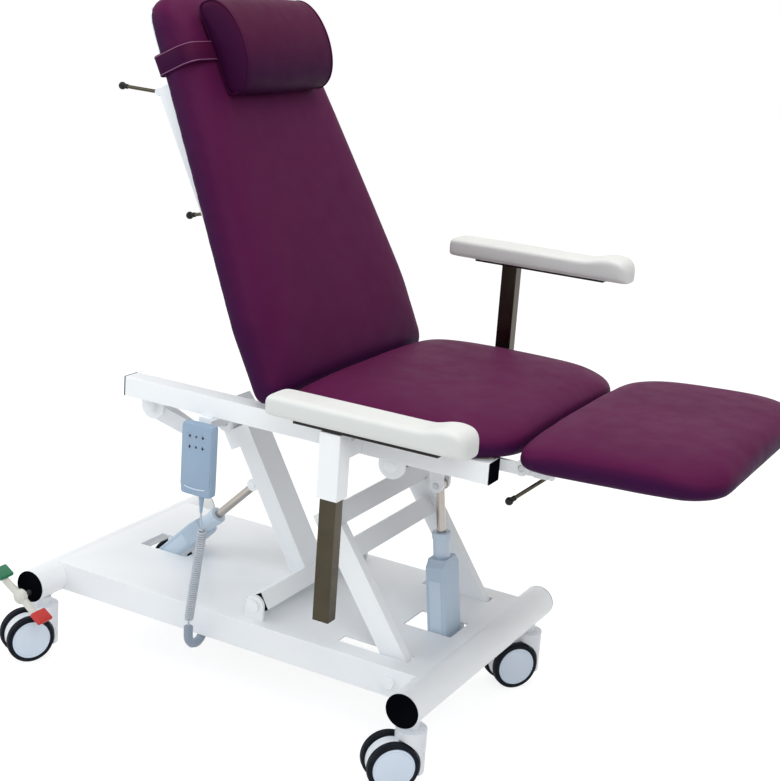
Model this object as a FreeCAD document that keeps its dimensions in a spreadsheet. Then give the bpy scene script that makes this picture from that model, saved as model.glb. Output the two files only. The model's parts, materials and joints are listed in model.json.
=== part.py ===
import FreeCAD, Part
import math
import os
import re

import Sketcher
from FreeCAD import Placement, Rotation, Vector

# Electric treatment recliner: a castor base, a parallelogram lift pushed by two
# actuators, and a seat frame with a reclining back, a leg rest and sliding arms.
# Millimetres. X runs to the foot end, Y to the sitter's left, Z up from the floor.
# "back" and "up" in a name count from the front base tube's axis.

DIMENSIONS = [
    ("front_x", 262, "front base tube's axis from the origin"),
    ("axle_z", 190, "base tubes' axis above the floor"),
    ("wheelbase", 1005, "between the base tubes' axes"),
    ("tube_od", 76.1, "base tube outside"),
    ("tube_wall", 3, "base tube wall"),
    ("tube_half", 346, "half the base tube's length"),
    ("cap_thick", 3, "face of an end cap"),
    ("cap_spigot", 12, "end cap's plug inside its tube"),
    ("tray_half", 259, "half the tray's width"),
    ("tray_up", 37.5, "tray's top face above the tube axis"),
    ("tray_deep", 67.5, "tray's side flange"),
    ("sheet_thick", 4, "tray sheet"),
    ("weld_gap", 0.2, "tray's clearance to the tubes"),
    ("slot_inner", 180, "leg slot, inner side"),
    ("slot_outer", 212, "leg slot, outer side"),
    ("slot_front", 62, "leg slot's front end, back"),
    ("slot_rear", 238, "leg slot's rear end, back"),
    ("window_half", 45, "actuator windows, half width"),
    ("front_window_front", 45, "front actuator window's front, back"),
    ("front_window_rear", 164, "front actuator window's rear, back"),
    ("rear_window_front", 775, "rear actuator window's front, back"),
    ("rear_window_rear", 914, "rear actuator window's rear, back"),
    ("castor_y", 297, "castor stem from the middle"),
    ("wheel_radius", 56.5, "castor wheel"),
    ("wheel_thick", 20, "one of the twin wheels"),
    ("wheel_inner", 17, "inner face of a wheel from the castor's middle"),
    ("trail", 42, "castor axle behind its stem"),
    ("barrel_radius", 34, "castor barrel"),
    ("barrel_low", 34, "castor barrel's bottom above the floor"),
    ("barrel_top", 132, "castor barrel's top above the floor"),
    ("neck_radius", 17, "castor neck"),
    ("neck_top", 151.6, "castor neck's top above the floor"),
    ("stem_radius", 10, "castor stem in its tube"),
    ("stem_top", 164, "castor stem's top above the floor"),
    ("fin_radius", 50.5, "castor guard between the wheels"),
    ("fin_half", 13, "castor guard, half thickness"),
    ("wheel_room", 59.5, "hollow that the wheels turn in"),
    ("axle_radius", 5, "castor axle"),
    ("running", 0.05, "radial clearance of a turning fit"),
    ("pedal_angle", 33, "brake rocker's slope when locked"),
    ("pedal_drop", 14, "brake shaft below the tube axis"),
    ("pedal_reach", 72, "brake shaft to a pedal pad"),
    ("shaft_radius", 7, "brake shaft"),
    ("lift_back", 445, "lift arm's pivot, back"),
    ("lift_up", 70, "lift arm's pivot, up"),
    ("leg_back", 80, "front legs' pivot, back"),
    ("leg_up", 4, "front legs' pivot, up"),
    ("link", 407, "pivot to pivot length of the lift arm and of the legs"),
    ("link_lean", 34.2, "lean of the pivot lines from upright"),
    ("arm_lean", 30, "lean of the lift arm's tube from upright"),
    ("arm_wide", 80, "lift arm tube across"),
    ("arm_deep", 45, "lift arm tube fore and aft"),
    ("arm_long", 385, "lift arm's top from its pivot"),
    ("arm_wall", 4, "lift arm tube wall"),
    ("cross_side", 42, "lift cross tube"),
    ("cross_half", 222, "half the lift cross tube's length"),
    ("leg_bolt", 8, "front legs' pivot bolts"),
    ("lift_bolt", 10, "lift arm's pivot bolts"),
    ("lug_thick", 8, "lift pivot lugs"),
    ("lug_radius", 24, "lift pivot lugs' rounded tops"),
    ("lug_y", 229, "lift pivot lugs' inner face"),
    ("cheek_y", 46, "actuator brackets' cheeks, inner face"),
    ("cheek_thick", 6, "actuator brackets' cheeks"),
    ("cheek_wide", 44, "actuator brackets' cheeks, fore and aft"),
    ("saddle_pin", 8, "pin at the lift arm's top"),
    ("hanger_pin", 6, "pins over the front legs' beam"),
    ("hinge_pin", 7, "back and leg rest hinge pins"),
    ("socket_back", 577, "handset cord's socket, back"),
    ("socket_y", 238, "handset cord's socket across"),
    ("back_spring_y", 60, "back's gas spring, to the near side"),
    ("back_spring_up", 497, "back's gas spring, up"),
    ("back_crank", 94, "back's hinge to its gas spring's pin"),
    ("leg_spring_y", 80, "leg rest's gas spring, to the far side"),
    ("leg_spring_up", 511.2, "leg rest's gas spring, up"),
    ("leg_crank", 40, "leg rest's hinge to its gas spring's pin"),
    ("leg_wide", 54, "front leg, fore and aft"),
    ("leg_inner", 184, "front leg, inner face"),
    ("leg_thick", 24, "front leg across"),
    ("leg_long", 343, "front leg's top from its pivot"),
    ("beam_side", 44, "beam over the front legs"),
    ("beam_half", 222, "half the beam's length"),
    ("rail_rear", 763, "seat rail's rear end, back"),
    ("rail_front", 130, "seat rail's front end, ahead"),
    ("rail_side", 45, "seat rail section"),
    ("rail_wall", 3, "seat rail wall"),
    ("rail_inner", 270, "seat rail's inner face"),
    ("rail_low", 514, "seat rail's underside, up"),
    ("yoke_back", 720, "rear yoke's rail plates, back"),
    ("yoke_up", 489, "rear yoke's rail plates, up"),
    ("push_back", 124, "front actuator's top pin, back"),
    ("push_up", 370, "front actuator's top pin, up"),
    ("front_foot_back", 80, "front actuator's lower pin, back"),
    ("front_foot_up", 0, "front actuator's lower pin, up"),
    ("rear_foot_back", 876, "rear actuator's lower pin, back"),
    ("rear_foot_up", -10, "rear actuator's lower pin, up"),
    ("rear_push_back", 607, "rear actuator's top pin, back"),
    ("rear_push_up", 258, "rear actuator's top pin, up"),
    ("act_half", 24, "actuator case, half depth"),
    ("act_half_wide", 42, "actuator case, half width"),
    ("front_case", 204, "front actuator case's top from its pin"),
    ("front_mouth", 262, "front actuator tube's mouth from its pin"),
    ("rear_case", 178, "rear actuator case's top from its pin"),
    ("rear_mouth", 228, "rear actuator tube's mouth from its pin"),
    ("act_tube_radius", 21.5, "actuator tube"),
    ("act_bore", 17.2, "actuator tube's bore"),
    ("act_rod", 10, "actuator rod"),
    ("act_rod_in", 182, "actuator rod's inner end from the lower pin"),
    ("act_pin", 7, "actuator pins"),
    ("sleeve_back", 172, "arm sleeve's middle, back"),
    ("sleeve_y", 394, "arm sleeve's middle across"),
    ("sleeve_long", 48, "arm sleeve, fore and aft"),
    ("sleeve_wide", 44, "arm sleeve across"),
    ("sleeve_low", 439, "arm sleeve's bottom, up"),
    ("sleeve_top", 579, "arm sleeve's top, up"),
    ("post_long", 38, "arm post, fore and aft"),
    ("post_wide", 30, "arm post across"),
    ("post_gap", 0.5, "arm post's clearance in its sleeve"),
    ("post_height", 409, "arm post's height"),
    ("plate_up", 582, "lowered arm plate's underside, up"),
    ("arm_travel", 220, "arm's travel"),
    ("pad_rear", 322, "arm pad's rear end, back"),
    ("pad_front", 127, "arm pad's front end, ahead"),
    ("pad_inner", 346, "arm pad's inner side"),
    ("pad_outer", 432, "arm pad's outer side"),
    ("pad_thick", 45, "arm pad"),
    ("seat_rear", 348, "seat cushion's rear, back"),
    ("seat_front", 168, "seat cushion's front, ahead"),
    ("seat_half", 335, "seat cushion's half width"),
    ("board_thick", 12, "seat and back boards"),
    ("seat_edge", 47.5, "seat cushion's height at its edges"),
    ("seat_crown", 28, "seat cushion's rise in the middle"),
    ("hinge_back", 395, "back's hinge, back"),
    ("hinge_up", 584, "back's hinge, up"),
    ("back_lean", 26.5, "back's lean from upright"),
    ("back_long", 884, "back cushion's top from its hinge"),
    ("back_half_low", 331, "back cushion's half width at its foot"),
    ("back_half_top", 240, "back cushion's half width at its top"),
    ("back_rear", 10, "back cushion's rear face behind the hinge line"),
    ("back_thick", 60, "back cushion at its edges"),
    ("back_waist", 170, "where the back starts to taper, from its hinge"),
    ("back_crown", 16, "back cushion's rise in the middle"),
    ("frame_tube_in", 205, "back frame's side tubes, inner face"),
    ("frame_tube_wide", 35, "back frame's side tubes across"),
    ("frame_tube_deep", 32, "back frame's side tubes, fore and aft"),
    ("leg_hinge_x", 178, "leg rest's hinge, ahead"),
    ("leg_hinge_up", 548, "leg rest's hinge, up"),
    ("leg_rise", 2.5, "leg rest's slope"),
    ("rest_long", 412, "leg rest cushion's front from its hinge"),
    ("rest_half", 330, "leg rest cushion's half width"),
    ("rest_low", 10.2, "leg rest cushion's rim above its hinge"),
    ("rest_edge", 48, "leg rest cushion's height at its edges"),
    ("rest_board", 10, "leg rest board's underside above its hinge, and its thickness"),
    ("lip", 48, "cushion's rim beside its board"),
    ("rest_crown", 26, "leg rest cushion's rise in the middle"),
    ("handset_back", 538, "handset's middle, back"),
    ("handset_low", 342, "handset's foot, up"),
    ("handset_wide", 80, "handset across"),
    ("handset_tall", 160, "handset"),
    ("handset_deep", 26, "handset, front to back"),
    ("handset_y", 326, "handset's back face across"),
    ("boot_long", 18, "sleeve where the cord leaves the handset"),
    ("boot_ahead", 10, "sleeve ahead of the handset's middle"),
    ("cord_radius", 2.3, "handset cord"),
    ("elbow_radius", 10.5, "moulded elbow under the tray"),
    ("coil_radius", 8.5, "curl's mean radius"),
    ("coil_turns", 41, "curls of the handset cord"),
]

doc = FreeCAD.newDocument("recliner")
sheet = doc.addObject("Spreadsheet::Sheet", "Dims")
for row, (alias, value, note) in enumerate(DIMENSIONS, start=1):
    sheet.set("A%d" % row, note)
    sheet.set("B%d" % row, str(value))
    sheet.setAlias("B%d" % row, alias)
doc.recompute()
ALIASES = {alias for alias, value, note in DIMENSIONS}
parts = []


def size(alias):
    """A driving dimension, read from the sheet."""
    return float(sheet.get(alias))


def bound(text):
    """An expression in which each alias points at the sheet."""
    def named(match):
        word = match.group(0)
        return "Dims." + word if word in ALIASES else word

    return re.sub(r"[a-z_]+", named, str(text))


def place(thing, spot, turn=None, about=Vector(0, 1, 0)):
    """Bind a placement: a spot of three expressions and, where given, a turn in degrees."""
    thing.Placement = Placement(Vector(), Rotation(about, 1.0 if turn is not None else 0.0))
    for letter, text in zip("xyz", spot):
        thing.setExpression("Placement.Base." + letter, bound(text))
    if turn is not None:
        thing.setExpression("Placement.Rotation.Angle", bound(turn))
    return thing


def box(lengths, corner):
    """A box from its lowest corner."""
    thing = doc.addObject("Part::Box", "Block")
    for prop, text in zip(("Length", "Width", "Height"), lengths):
        thing.setExpression(prop, bound(text))
    return place(thing, corner)


def rod(radius, length, start, axis="z"):
    """A round bar from a start point along +X, +Y or +Z."""
    thing = doc.addObject("Part::Cylinder", "Round")
    thing.setExpression("Radius", bound(radius))
    thing.setExpression("Height", bound(length))
    place(thing, start)
    turns = {"x": Rotation(Vector(0, 1, 0), 90), "y": Rotation(Vector(1, 0, 0), -90), "z": Rotation()}
    thing.Placement = Placement(thing.Placement.Base, turns[axis])
    for letter, text in zip("xyz", start):
        thing.setExpression("Placement.Base." + letter, bound(text))
    return thing


def fuse(*pieces):
    """Several solids welded into one."""
    thing = doc.addObject("Part::MultiFuse", "Weld")
    thing.Shapes = list(pieces)
    return thing


def cut(base, *tools):
    """A solid less its tools."""
    for tool in tools:
        thing = doc.addObject("Part::Cut", "Cut")
        thing.Base = base
        thing.Tool = tool
        base = thing
    return base


def group(*pieces):
    """Separate solids that share a node."""
    thing = doc.addObject("Part::Compound", "Set")
    thing.Links = list(pieces)
    return thing


def mirrored(build):
    """The near and the far copy of a piece, from a function of the side."""
    return [build(side) for side in (-1, 1)]


def node(label, thing):
    """Name a finished sub-part, whose label names its file."""
    thing.Label = label
    parts.append(thing)
    return thing


def across(side, inner, thick):
    """Lowest Y of a slab that starts a distance from the middle, on one side."""
    return "%s" % inner if side > 0 else "-(%s) - (%s)" % (inner, thick)


def plate(outline, thick, y_low):
    """A flat plate, thick along Y, from a closed outline of (x, z)."""
    body = doc.addObject("PartDesign::Body", "Plate")
    sketch = body.newObject("Sketcher::SketchObject", "Outline")
    plane = [f for f in body.Origin.OriginFeatures if f.Role == "XZ_Plane"][0]
    sketch.AttachmentSupport = [(plane, "")]
    sketch.MapMode = "FlatFace"
    corners = [Vector(x, z, 0) for x, z in outline]
    for index, corner in enumerate(corners):
        sketch.addGeometry(Part.LineSegment(corner, corners[(index + 1) % len(corners)]), False)
    for index in range(len(corners)):
        sketch.addConstraint(Sketcher.Constraint("Coincident", index, 2, (index + 1) % len(corners), 1))
    pad = body.newObject("PartDesign::Pad", "Pad")
    pad.Profile = sketch
    pad.Reversed = True
    pad.setExpression("Length", bound(thick))
    return place(body, ("0", y_low, "0"))


def solid(shape):
    """A shape made with Part's own functions, as an object of the document."""
    thing = doc.addObject("Part::Feature", "Form")
    thing.Shape = shape
    return thing


# Points of the linkage, in the XZ plane
REAR_X = "front_x - wheelbase"
LIFT = ("front_x - lift_back", "0", "axle_z + lift_up")
LEG = ("front_x - leg_back", "0", "axle_z + leg_up")
lean = math.radians(size("link_lean"))
LINK_BACK = size("link") * math.sin(lean)
LINK_UP = size("link") * math.cos(lean)
FX = size("front_x")
FZ = size("axle_z")
SADDLE_X = FX - size("lift_back") - LINK_BACK
SADDLE_Z = FZ + size("lift_up") + LINK_UP
HANG_X = FX - size("leg_back") - LINK_BACK
HANG_Z = FZ + size("leg_up") + LINK_UP
RAIL_TOP = "axle_z + rail_low + rail_side"
RAIL_LOW = "axle_z + rail_low"
SIDE = Vector(0, 1, 0)
FORWARD = Vector(1, 0, 0)


# Base: two tubes, their end caps and the pressed tray between them
def base_tube(x):
    """A base tube across Y with a stem hole near each end."""
    outer = rod("tube_od / 2", "2 * tube_half", (x, "-tube_half", "axle_z"), "y")
    bore = rod("tube_od / 2 - tube_wall", "2 * tube_half", (x, "-tube_half", "axle_z"), "y")
    holes = [rod("stem_radius + running", "tube_od / 2", (x, "%d * castor_y" % s, "axle_z - tube_od / 2 - 2"))
             for s in (-1, 1)]
    return cut(outer, bore, *holes)


node("front_tube", base_tube("front_x"))
node("rear_tube", base_tube(REAR_X))


def tube_cap(x, side):
    """A plastic plug that closes a base tube's end."""
    face = rod("tube_od / 2", "cap_thick", (x, across(side, "tube_half", "cap_thick"), "axle_z"), "y")
    spigot = rod("tube_od / 2 - tube_wall - running", "cap_spigot",
                 (x, across(side, "tube_half - cap_spigot", "cap_spigot"), "axle_z"), "y")
    return fuse(face, spigot)


brake_hole = rod("shaft_radius + running", "60", (REAR_X, "-tube_half - 30", "axle_z - pedal_drop"), "y")
node("tube_end_caps", group(tube_cap("front_x", -1), tube_cap("front_x", 1),
                            cut(tube_cap(REAR_X, -1), brake_hole), tube_cap(REAR_X, 1)))


def tray():
    """An inverted tray of folded sheet with slots for the legs and windows for the actuators."""
    low = "axle_z + tray_up - tray_deep"
    block = box(("wheelbase", "2 * tray_half", "tray_deep"), (REAR_X, "-tray_half", low))
    hollow = box(("wheelbase", "2 * tray_half - 2 * sheet_thick", "tray_deep - sheet_thick"),
                 (REAR_X, "sheet_thick - tray_half", low))
    cuts = [rod("tube_od / 2 + weld_gap", "2 * tray_half", (x, "-tray_half", "axle_z"), "y")
            for x in ("front_x", REAR_X)]
    for side in (-1, 1):
        slot_y = across(side, "slot_inner", "slot_outer - slot_inner")
        cuts.append(box(("slot_rear - slot_front", "slot_outer - slot_inner", "tray_deep"),
                        ("front_x - slot_rear", slot_y, "axle_z")))
        cuts.append(rod("leg_bolt", "sheet_thick",
                        (LEG[0], across(side, "tray_half - sheet_thick", "sheet_thick"), LEG[2]), "y"))
    for end in ("front", "rear"):
        front, rear = end + "_window_front", end + "_window_rear"
        cuts.append(box((rear + " - " + front, "2 * window_half", "tray_deep"),
                        ("front_x - " + rear, "-window_half", "axle_z")))
    return cut(block, hollow, *cuts)


node("tray", tray())


# Lugs, pins and boxes that the base carries
def lift_lug(side):
    """A round-topped lug on the tray for the lift arm's pivot."""
    y = across(side, "lug_y", "lug_thick")
    foot = box(("2 * lug_radius", "lug_thick", "lift_up - tray_up"),
               (LIFT[0] + " - lug_radius", y, "axle_z + tray_up"))
    top = rod("lug_radius", "lug_thick", (LIFT[0], y, LIFT[2]), "y")
    hole = rod("lift_bolt", "lug_thick", (LIFT[0], y, LIFT[2]), "y")
    return cut(fuse(foot, top), box(("2 * lug_radius", "lug_thick", "lug_radius"),
                                    (LIFT[0] + " - lug_radius", y, "axle_z + tray_up - lug_radius")), hole)


def cheek(x, z, side):
    """One cheek of an actuator's bracket, hung under the tray beside its window."""
    y = across(side, "cheek_y", "cheek_thick")
    slab = box(("cheek_wide", "cheek_thick", "tray_deep - sheet_thick"),
               (x + " - cheek_wide / 2", y, "axle_z + tray_up - tray_deep"))
    return cut(slab, rod("act_pin", "cheek_thick", (x, y, z), "y"))


FEET = [("front_x - front_foot_back", "axle_z + front_foot_up"),
        ("front_x - rear_foot_back", "axle_z + rear_foot_up")]
cheeks = [cheek(x, z, side) for x, z in FEET for side in (-1, 1)]
node("base_lugs", group(*(mirrored(lift_lug) + cheeks)))


def lift_bolt(side):
    """A lift pivot bolt with a round head outside its lug."""
    shank = rod("lift_bolt", "35", (LIFT[0], across(side, "lug_y + lug_thick - 35", "35"), LIFT[2]), "y")
    head = rod("lift_bolt + 5", "8", (LIFT[0], across(side, "lug_y + lug_thick", "8"), LIFT[2]), "y")
    return fuse(shank, head)


def leg_bolt(side):
    """A leg pivot bolt: head outside the tray, spacer inside, shank through the leg."""
    reach = "tray_half - leg_inner + 2"
    shank = rod("leg_bolt", reach, (LEG[0], across(side, "leg_inner - 2", reach), LEG[2]), "y")
    head = rod("leg_bolt + 6", "9", (LEG[0], across(side, "tray_half", "9"), LEG[2]), "y")
    gap = "tray_half - sheet_thick - leg_inner - leg_thick - 1"
    spacer = rod("leg_bolt + 5", gap, (LEG[0], across(side, "leg_inner + leg_thick + 0.5", gap), LEG[2]), "y")
    return fuse(shank, head, spacer)


foot_pins = [rod("act_pin", "2 * cheek_y + 2 * cheek_thick", (x, "-cheek_y - cheek_thick", z), "y")
             for x, z in FEET]
node("base_pivot_pins", group(*(mirrored(lift_bolt) + mirrored(leg_bolt) + foot_pins)))
TRAY_UNDER = "axle_z + tray_up - sheet_thick"
node("control_box", box(("220", "150", "52"), ("front_x - 700", "70", TRAY_UNDER + " - 52")))
SOCKET_X = "front_x - socket_back"
node("cord_socket", box(("30", "30", "30"), (SOCKET_X + " - 15", "-socket_y - 15", TRAY_UNDER + " - 30")))


# Castors: a barrel with a guard, and twin wheels on one axle
def castor(label, x, side, turn):
    """One castor, built with its stem on Z and trailing along +X, then swivelled."""
    barrel = rod("barrel_radius", "barrel_top - barrel_low", ("0", "0", "barrel_low"))
    neck = rod("neck_radius", "neck_top - barrel_top", ("0", "0", "barrel_top"))
    stem = rod("stem_radius", "stem_top - neck_top", ("0", "0", "neck_top"))
    fin = rod("fin_radius", "2 * fin_half", ("trail", "-fin_half", "wheel_radius"), "y")
    hollows = [rod("wheel_room", "60", ("trail", across(s, "wheel_inner - 1.5", "60"), "wheel_radius"), "y")
               for s in (-1, 1)]
    bore = rod("axle_radius + running", "120", ("trail", "-60", "wheel_radius"), "y")
    housing = cut(fuse(cut(barrel, *hollows), neck, stem, fin), bore)
    spot = (x, "%d * castor_y" % side, "0")
    node(label + "_housing", place(group(housing), spot, turn, Vector(0, 0, 1)))
    wheels = [rod("wheel_radius", "wheel_thick",
                  ("trail", across(s, "wheel_inner", "wheel_thick"), "wheel_radius"), "y") for s in (-1, 1)]
    axle = rod("axle_radius", "2 * wheel_inner + 2 * wheel_thick",
               ("trail", "-wheel_inner - wheel_thick", "wheel_radius"), "y")
    node(label + "_wheels", place(group(fuse(axle, *wheels)), spot, turn, Vector(0, 0, 1)))


castor("castor_front_near", "front_x", -1, "-136")
castor("castor_front_far", "front_x", 1, "-128")
castor("castor_rear_near", REAR_X, -1, "-120")
castor("castor_rear_far", REAR_X, 1, "-160")


# Brake: a rocker pedal on a shaft through the rear tube
def brake():
    """The pedal, its two pads and the shaft, built level and sloped as locked."""
    shaft = rod("shaft_radius", "2 * tube_half + 26", ("0", "-tube_half - 40", "0"), "y")
    boss = rod("shaft_radius + 10", "16", ("0", "-tube_half - 40", "0"), "y")
    bar = box(("2 * pedal_reach", "13", "16"), ("-pedal_reach", "-tube_half - 39", "-8"))
    pads = [box(("32", "46", "9"), ("%d * pedal_reach - 16" % s, "-tube_half - 62", "4")) for s in (-1, 1)]
    return place(group(fuse(shaft, boss, bar, *pads)), (REAR_X, "0", "axle_z - pedal_drop"), "pedal_angle")


node("brake_pedal", brake())


# Lift arm: a cross tube on the base pivots, one broad tube and its top lug
def lift_arm():
    """The arm, built upright on its pivot: tube, saddle lug and the actuator's ears."""
    base = "cross_side / 2"
    tall = "arm_long - cross_side / 2"
    outer = box(("arm_deep", "arm_wide", tall), ("-arm_deep / 2", "-arm_wide / 2", base))
    inner = box(("arm_deep - 2 * arm_wall", "arm_wide - 2 * arm_wall", tall + " - arm_wall"),
                ("arm_wall - arm_deep / 2", "arm_wall - arm_wide / 2", base))
    turn = math.radians(size("arm_lean"))
    top_x = -LINK_BACK * math.cos(turn) + LINK_UP * math.sin(turn)
    top_z = LINK_BACK * math.sin(turn) + LINK_UP * math.cos(turn)
    boss = rod("20", "arm_wide", (str(top_x), "-arm_wide / 2", str(top_z)), "y")
    web = box(("28", "arm_wide", str(top_z - 340)), (str(top_x - 20), "-arm_wide / 2", "340"))
    run = size("rear_push_back") - size("lift_back")
    rise = size("rear_push_up") - size("lift_up")
    ear_x = -run * math.cos(turn) + rise * math.sin(turn)
    ear_z = run * math.sin(turn) + rise * math.cos(turn)
    ears = []
    for side in (-1, 1):
        y = across(side, "13", "8")
        ears.append(rod("15", "8", (str(ear_x), y, str(ear_z)), "y"))
        ears.append(box((str(-ear_x - 20), "8", "30"), (str(ear_x), y, str(ear_z - 15))))
    pin = rod("act_pin", "46", (str(ear_x), "-23", str(ear_z)), "y")
    bore = rod("saddle_pin + running", "arm_wide", (str(top_x), "-arm_wide / 2", str(top_z)), "y")
    arm = cut(fuse(cut(outer, inner), web, boss, pin, *ears), bore)
    return place(group(arm), LIFT, "-arm_lean")


def lift_cross():
    """The square tube that the arm stands on."""
    outer = box(("cross_side", "2 * cross_half", "cross_side"),
                ("-cross_side / 2", "-cross_half", "-cross_side / 2"))
    inner = box(("cross_side - 6", "2 * cross_half", "cross_side - 6"),
                ("3 - cross_side / 2", "-cross_half", "3 - cross_side / 2"))
    return place(group(cut(outer, inner)), LIFT, "-arm_lean")


def lift_caps():
    """Plastic plugs in the cross tube's ends, which turn on the pivot bolts."""
    plugs = []
    for side in (-1, 1):
        plug = box(("cross_side - 6.4", "18", "cross_side - 6.4"),
                   ("3.2 - cross_side / 2", across(side, "cross_half - 18", "18"), "3.2 - cross_side / 2"))
        face = box(("cross_side", "3", "cross_side"),
                   ("-cross_side / 2", across(side, "cross_half", "3"), "-cross_side / 2"))
        plugs.append(cut(fuse(plug, face), rod("lift_bolt + running", "40",
                                               ("0", across(side, "cross_half - 30", "40"), "0"), "y")))
    return place(group(*plugs), LIFT, "-arm_lean")


node("lift_arm", lift_arm())
node("lift_cross_tube", lift_cross())
node("cross_tube_caps", lift_caps())


# Front legs: two bars through the tray, their brace and the beam on top
def front_legs():
    """Both legs and the brace between them, built upright on the leg pivot."""
    pieces = []
    for side in (-1, 1):
        y = across(side, "leg_inner", "leg_thick")
        bar = box(("leg_wide", "leg_thick", "leg_long"), ("-leg_wide / 2", y, "0"))
        foot = rod("leg_wide / 2", "leg_thick", ("0", y, "0"), "y")
        pieces.append(cut(fuse(bar, foot), rod("leg_bolt + running", "leg_thick", ("0", y, "0"), "y")))
    brace = box(("26", "2 * leg_inner", "44"), ("-13", "-leg_inner", "262"))
    return place(group(fuse(brace, *pieces)), LEG, "-link_lean")


def leg_beam():
    """The beam over the legs, with two pairs of hanger lugs on its top."""
    bar = box(("beam_side", "2 * beam_half", "beam_side"), ("-beam_side / 2", "-beam_half", "leg_long"))
    lugs = []
    for side in (-1, 1):
        for inner in (139, 160):
            y = across(side, inner, 8)
            lugs.append(rod("14", "8", ("0", y, "link"), "y"))
            lugs.append(box(("28", "8", "link - leg_long - beam_side"), ("-14", y, "leg_long + beam_side")))
        lugs.append(rod("hanger_pin", "29", ("0", across(side, 139, 29), "link"), "y"))
    return place(group(fuse(bar, *lugs)), LEG, "-link_lean")


node("front_legs", front_legs())
node("leg_top_beam", leg_beam())


# Seat frame: rails, cross tubes and what hangs from them
RAIL_LONG = "rail_rear + rail_front"
RAIL_BACK = "front_x - rail_rear"


def rail(side):
    """A square tube rail under one edge of the seat."""
    y = across(side, "rail_inner", "rail_side")
    outer = box((RAIL_LONG, "rail_side", "rail_side"), (RAIL_BACK, y, RAIL_LOW))
    inner = box((RAIL_LONG, "rail_side - 2 * rail_wall", "rail_side - 2 * rail_wall"),
                (RAIL_BACK, across(side, "rail_inner + rail_wall", "rail_side - 2 * rail_wall"),
                 RAIL_LOW + " + rail_wall"))
    return cut(outer, inner)


def rail_cap(x, side):
    """A plastic cap on a rail's end."""
    y = across(side, "rail_inner", "rail_side")
    return box(("cap_thick", "rail_side", "rail_side"), (x, y, RAIL_LOW))


def cross_tube(x):
    """A square tube between the rails, centred fore and aft on x."""
    outer = box(("rail_side", "2 * rail_inner", "rail_side"),
                (x + " - rail_side / 2", "-rail_inner", RAIL_LOW))
    inner = box(("rail_side - 2 * rail_wall", "2 * rail_inner", "rail_side - 2 * rail_wall"),
                (x + " - rail_side / 2 + rail_wall", "-rail_inner", RAIL_LOW + " + rail_wall"))
    return cut(outer, inner)


PUSH_X = "front_x - push_back"
node("seat_rails", group(*mirrored(rail)))
caps = [rail_cap(x, side) for x in (RAIL_BACK + " - cap_thick", "front_x + rail_front") for side in (-1, 1)]
node("rail_caps", group(*caps))
node("seat_cross_tubes", group(cross_tube(PUSH_X), cross_tube(str(HANG_X))))


def strap(x, z, inner, thick, side, radius, hole):
    """A flat strap hung from a cross tube down to a pin."""
    y = across(side, inner, thick)
    bar = box((2 * radius, thick, RAIL_LOW + " - (%s)" % z), ("%s - %s" % (x, radius), y, z))
    eye = rod(radius, thick, (x, y, z), "y")
    return cut(fuse(bar, eye), rod(hole, thick, (x, y, z), "y"))


def hinge_plate(x, z, low, side, radius):
    """A hinge plate on a rail's inner face, round about its pin."""
    y = across(side, "rail_inner - 10", 10)
    bar = box((2 * radius, 10, "%s - (%s)" % (z, low)), ("%s - %s" % (x, radius), y, low))
    return cut(fuse(bar, rod(radius, 10, (x, y, z), "y")), rod("hinge_pin", 10, (x, y, z), "y"))


def rail_plate(x, z, side):
    """A round plate on a rail's inner face, and the bolt head on its outer side below the rail."""
    inner, thick, radius, head = size("rail_inner"), 10, 30, 7
    plate_y = inner - thick if side > 0 else -inner
    head_y = inner if side > 0 else -inner - head
    tall = FZ + size("rail_low") + 30 - z
    return [Part.makeCylinder(radius, thick, Vector(x, plate_y, z), SIDE),
            Part.makeBox(2 * radius, thick, tall, Vector(x - radius, plate_y, z)),
            Part.makeCylinder(14, head, Vector(x, head_y, z), SIDE)]


def leg_hinge_plate(side):
    """The leg rest's hinge plate, which reaches ahead of the rail."""
    y = across(side, "rail_inner - 10", 10)
    x = "front_x + leg_hinge_x"
    z = "axle_z + leg_hinge_up"
    bar = box(("leg_hinge_x - 70", 10, 24), ("front_x + 70", y, z + " - 14"))
    return cut(fuse(bar, rod(16, 10, (x, y, z), "y")), rod("hinge_pin", 10, (x, y, z), "y"))


HINGE_X = "front_x - hinge_back"
HINGE_Z = "axle_z + hinge_up"
hangers = [strap(str(HANG_X), str(HANG_Z), 149.5, 8, s, 18, "hanger_pin + 0.4") for s in (-1, 1)]
pushers = [strap(PUSH_X, "axle_z + push_up", 13, 8, s, 16, "act_pin") for s in (-1, 1)]
hinges = [hinge_plate(HINGE_X, HINGE_Z, RAIL_LOW + " + 6", s, 14) for s in (-1, 1)]
back_tab = box((15, 32, 72), (PUSH_X + " - rail_side / 2 - 15", "-back_spring_y - 16", RAIL_LOW + " - 32"))
leg_tab = box((10, 26, 60), (PUSH_X + " + rail_side / 2", "leg_spring_y - 13", RAIL_LOW + " - 16"))
front_plates = []
for side in (-1, 1):
    first, *rest = rail_plate(FX - size("push_back") + 16, FZ + size("yoke_up"), side)
    over_tube = Part.makeBox(200, 600, 60, Vector(FX - size("push_back") - 100, -300, FZ + size("rail_low")))
    front_plates.append(solid(first.multiFuse(rest).cut(over_tube)))
node("frame_brackets", group(*(hangers + pushers + hinges + mirrored(leg_hinge_plate) + front_plates
                               + [back_tab, leg_tab])))


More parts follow.
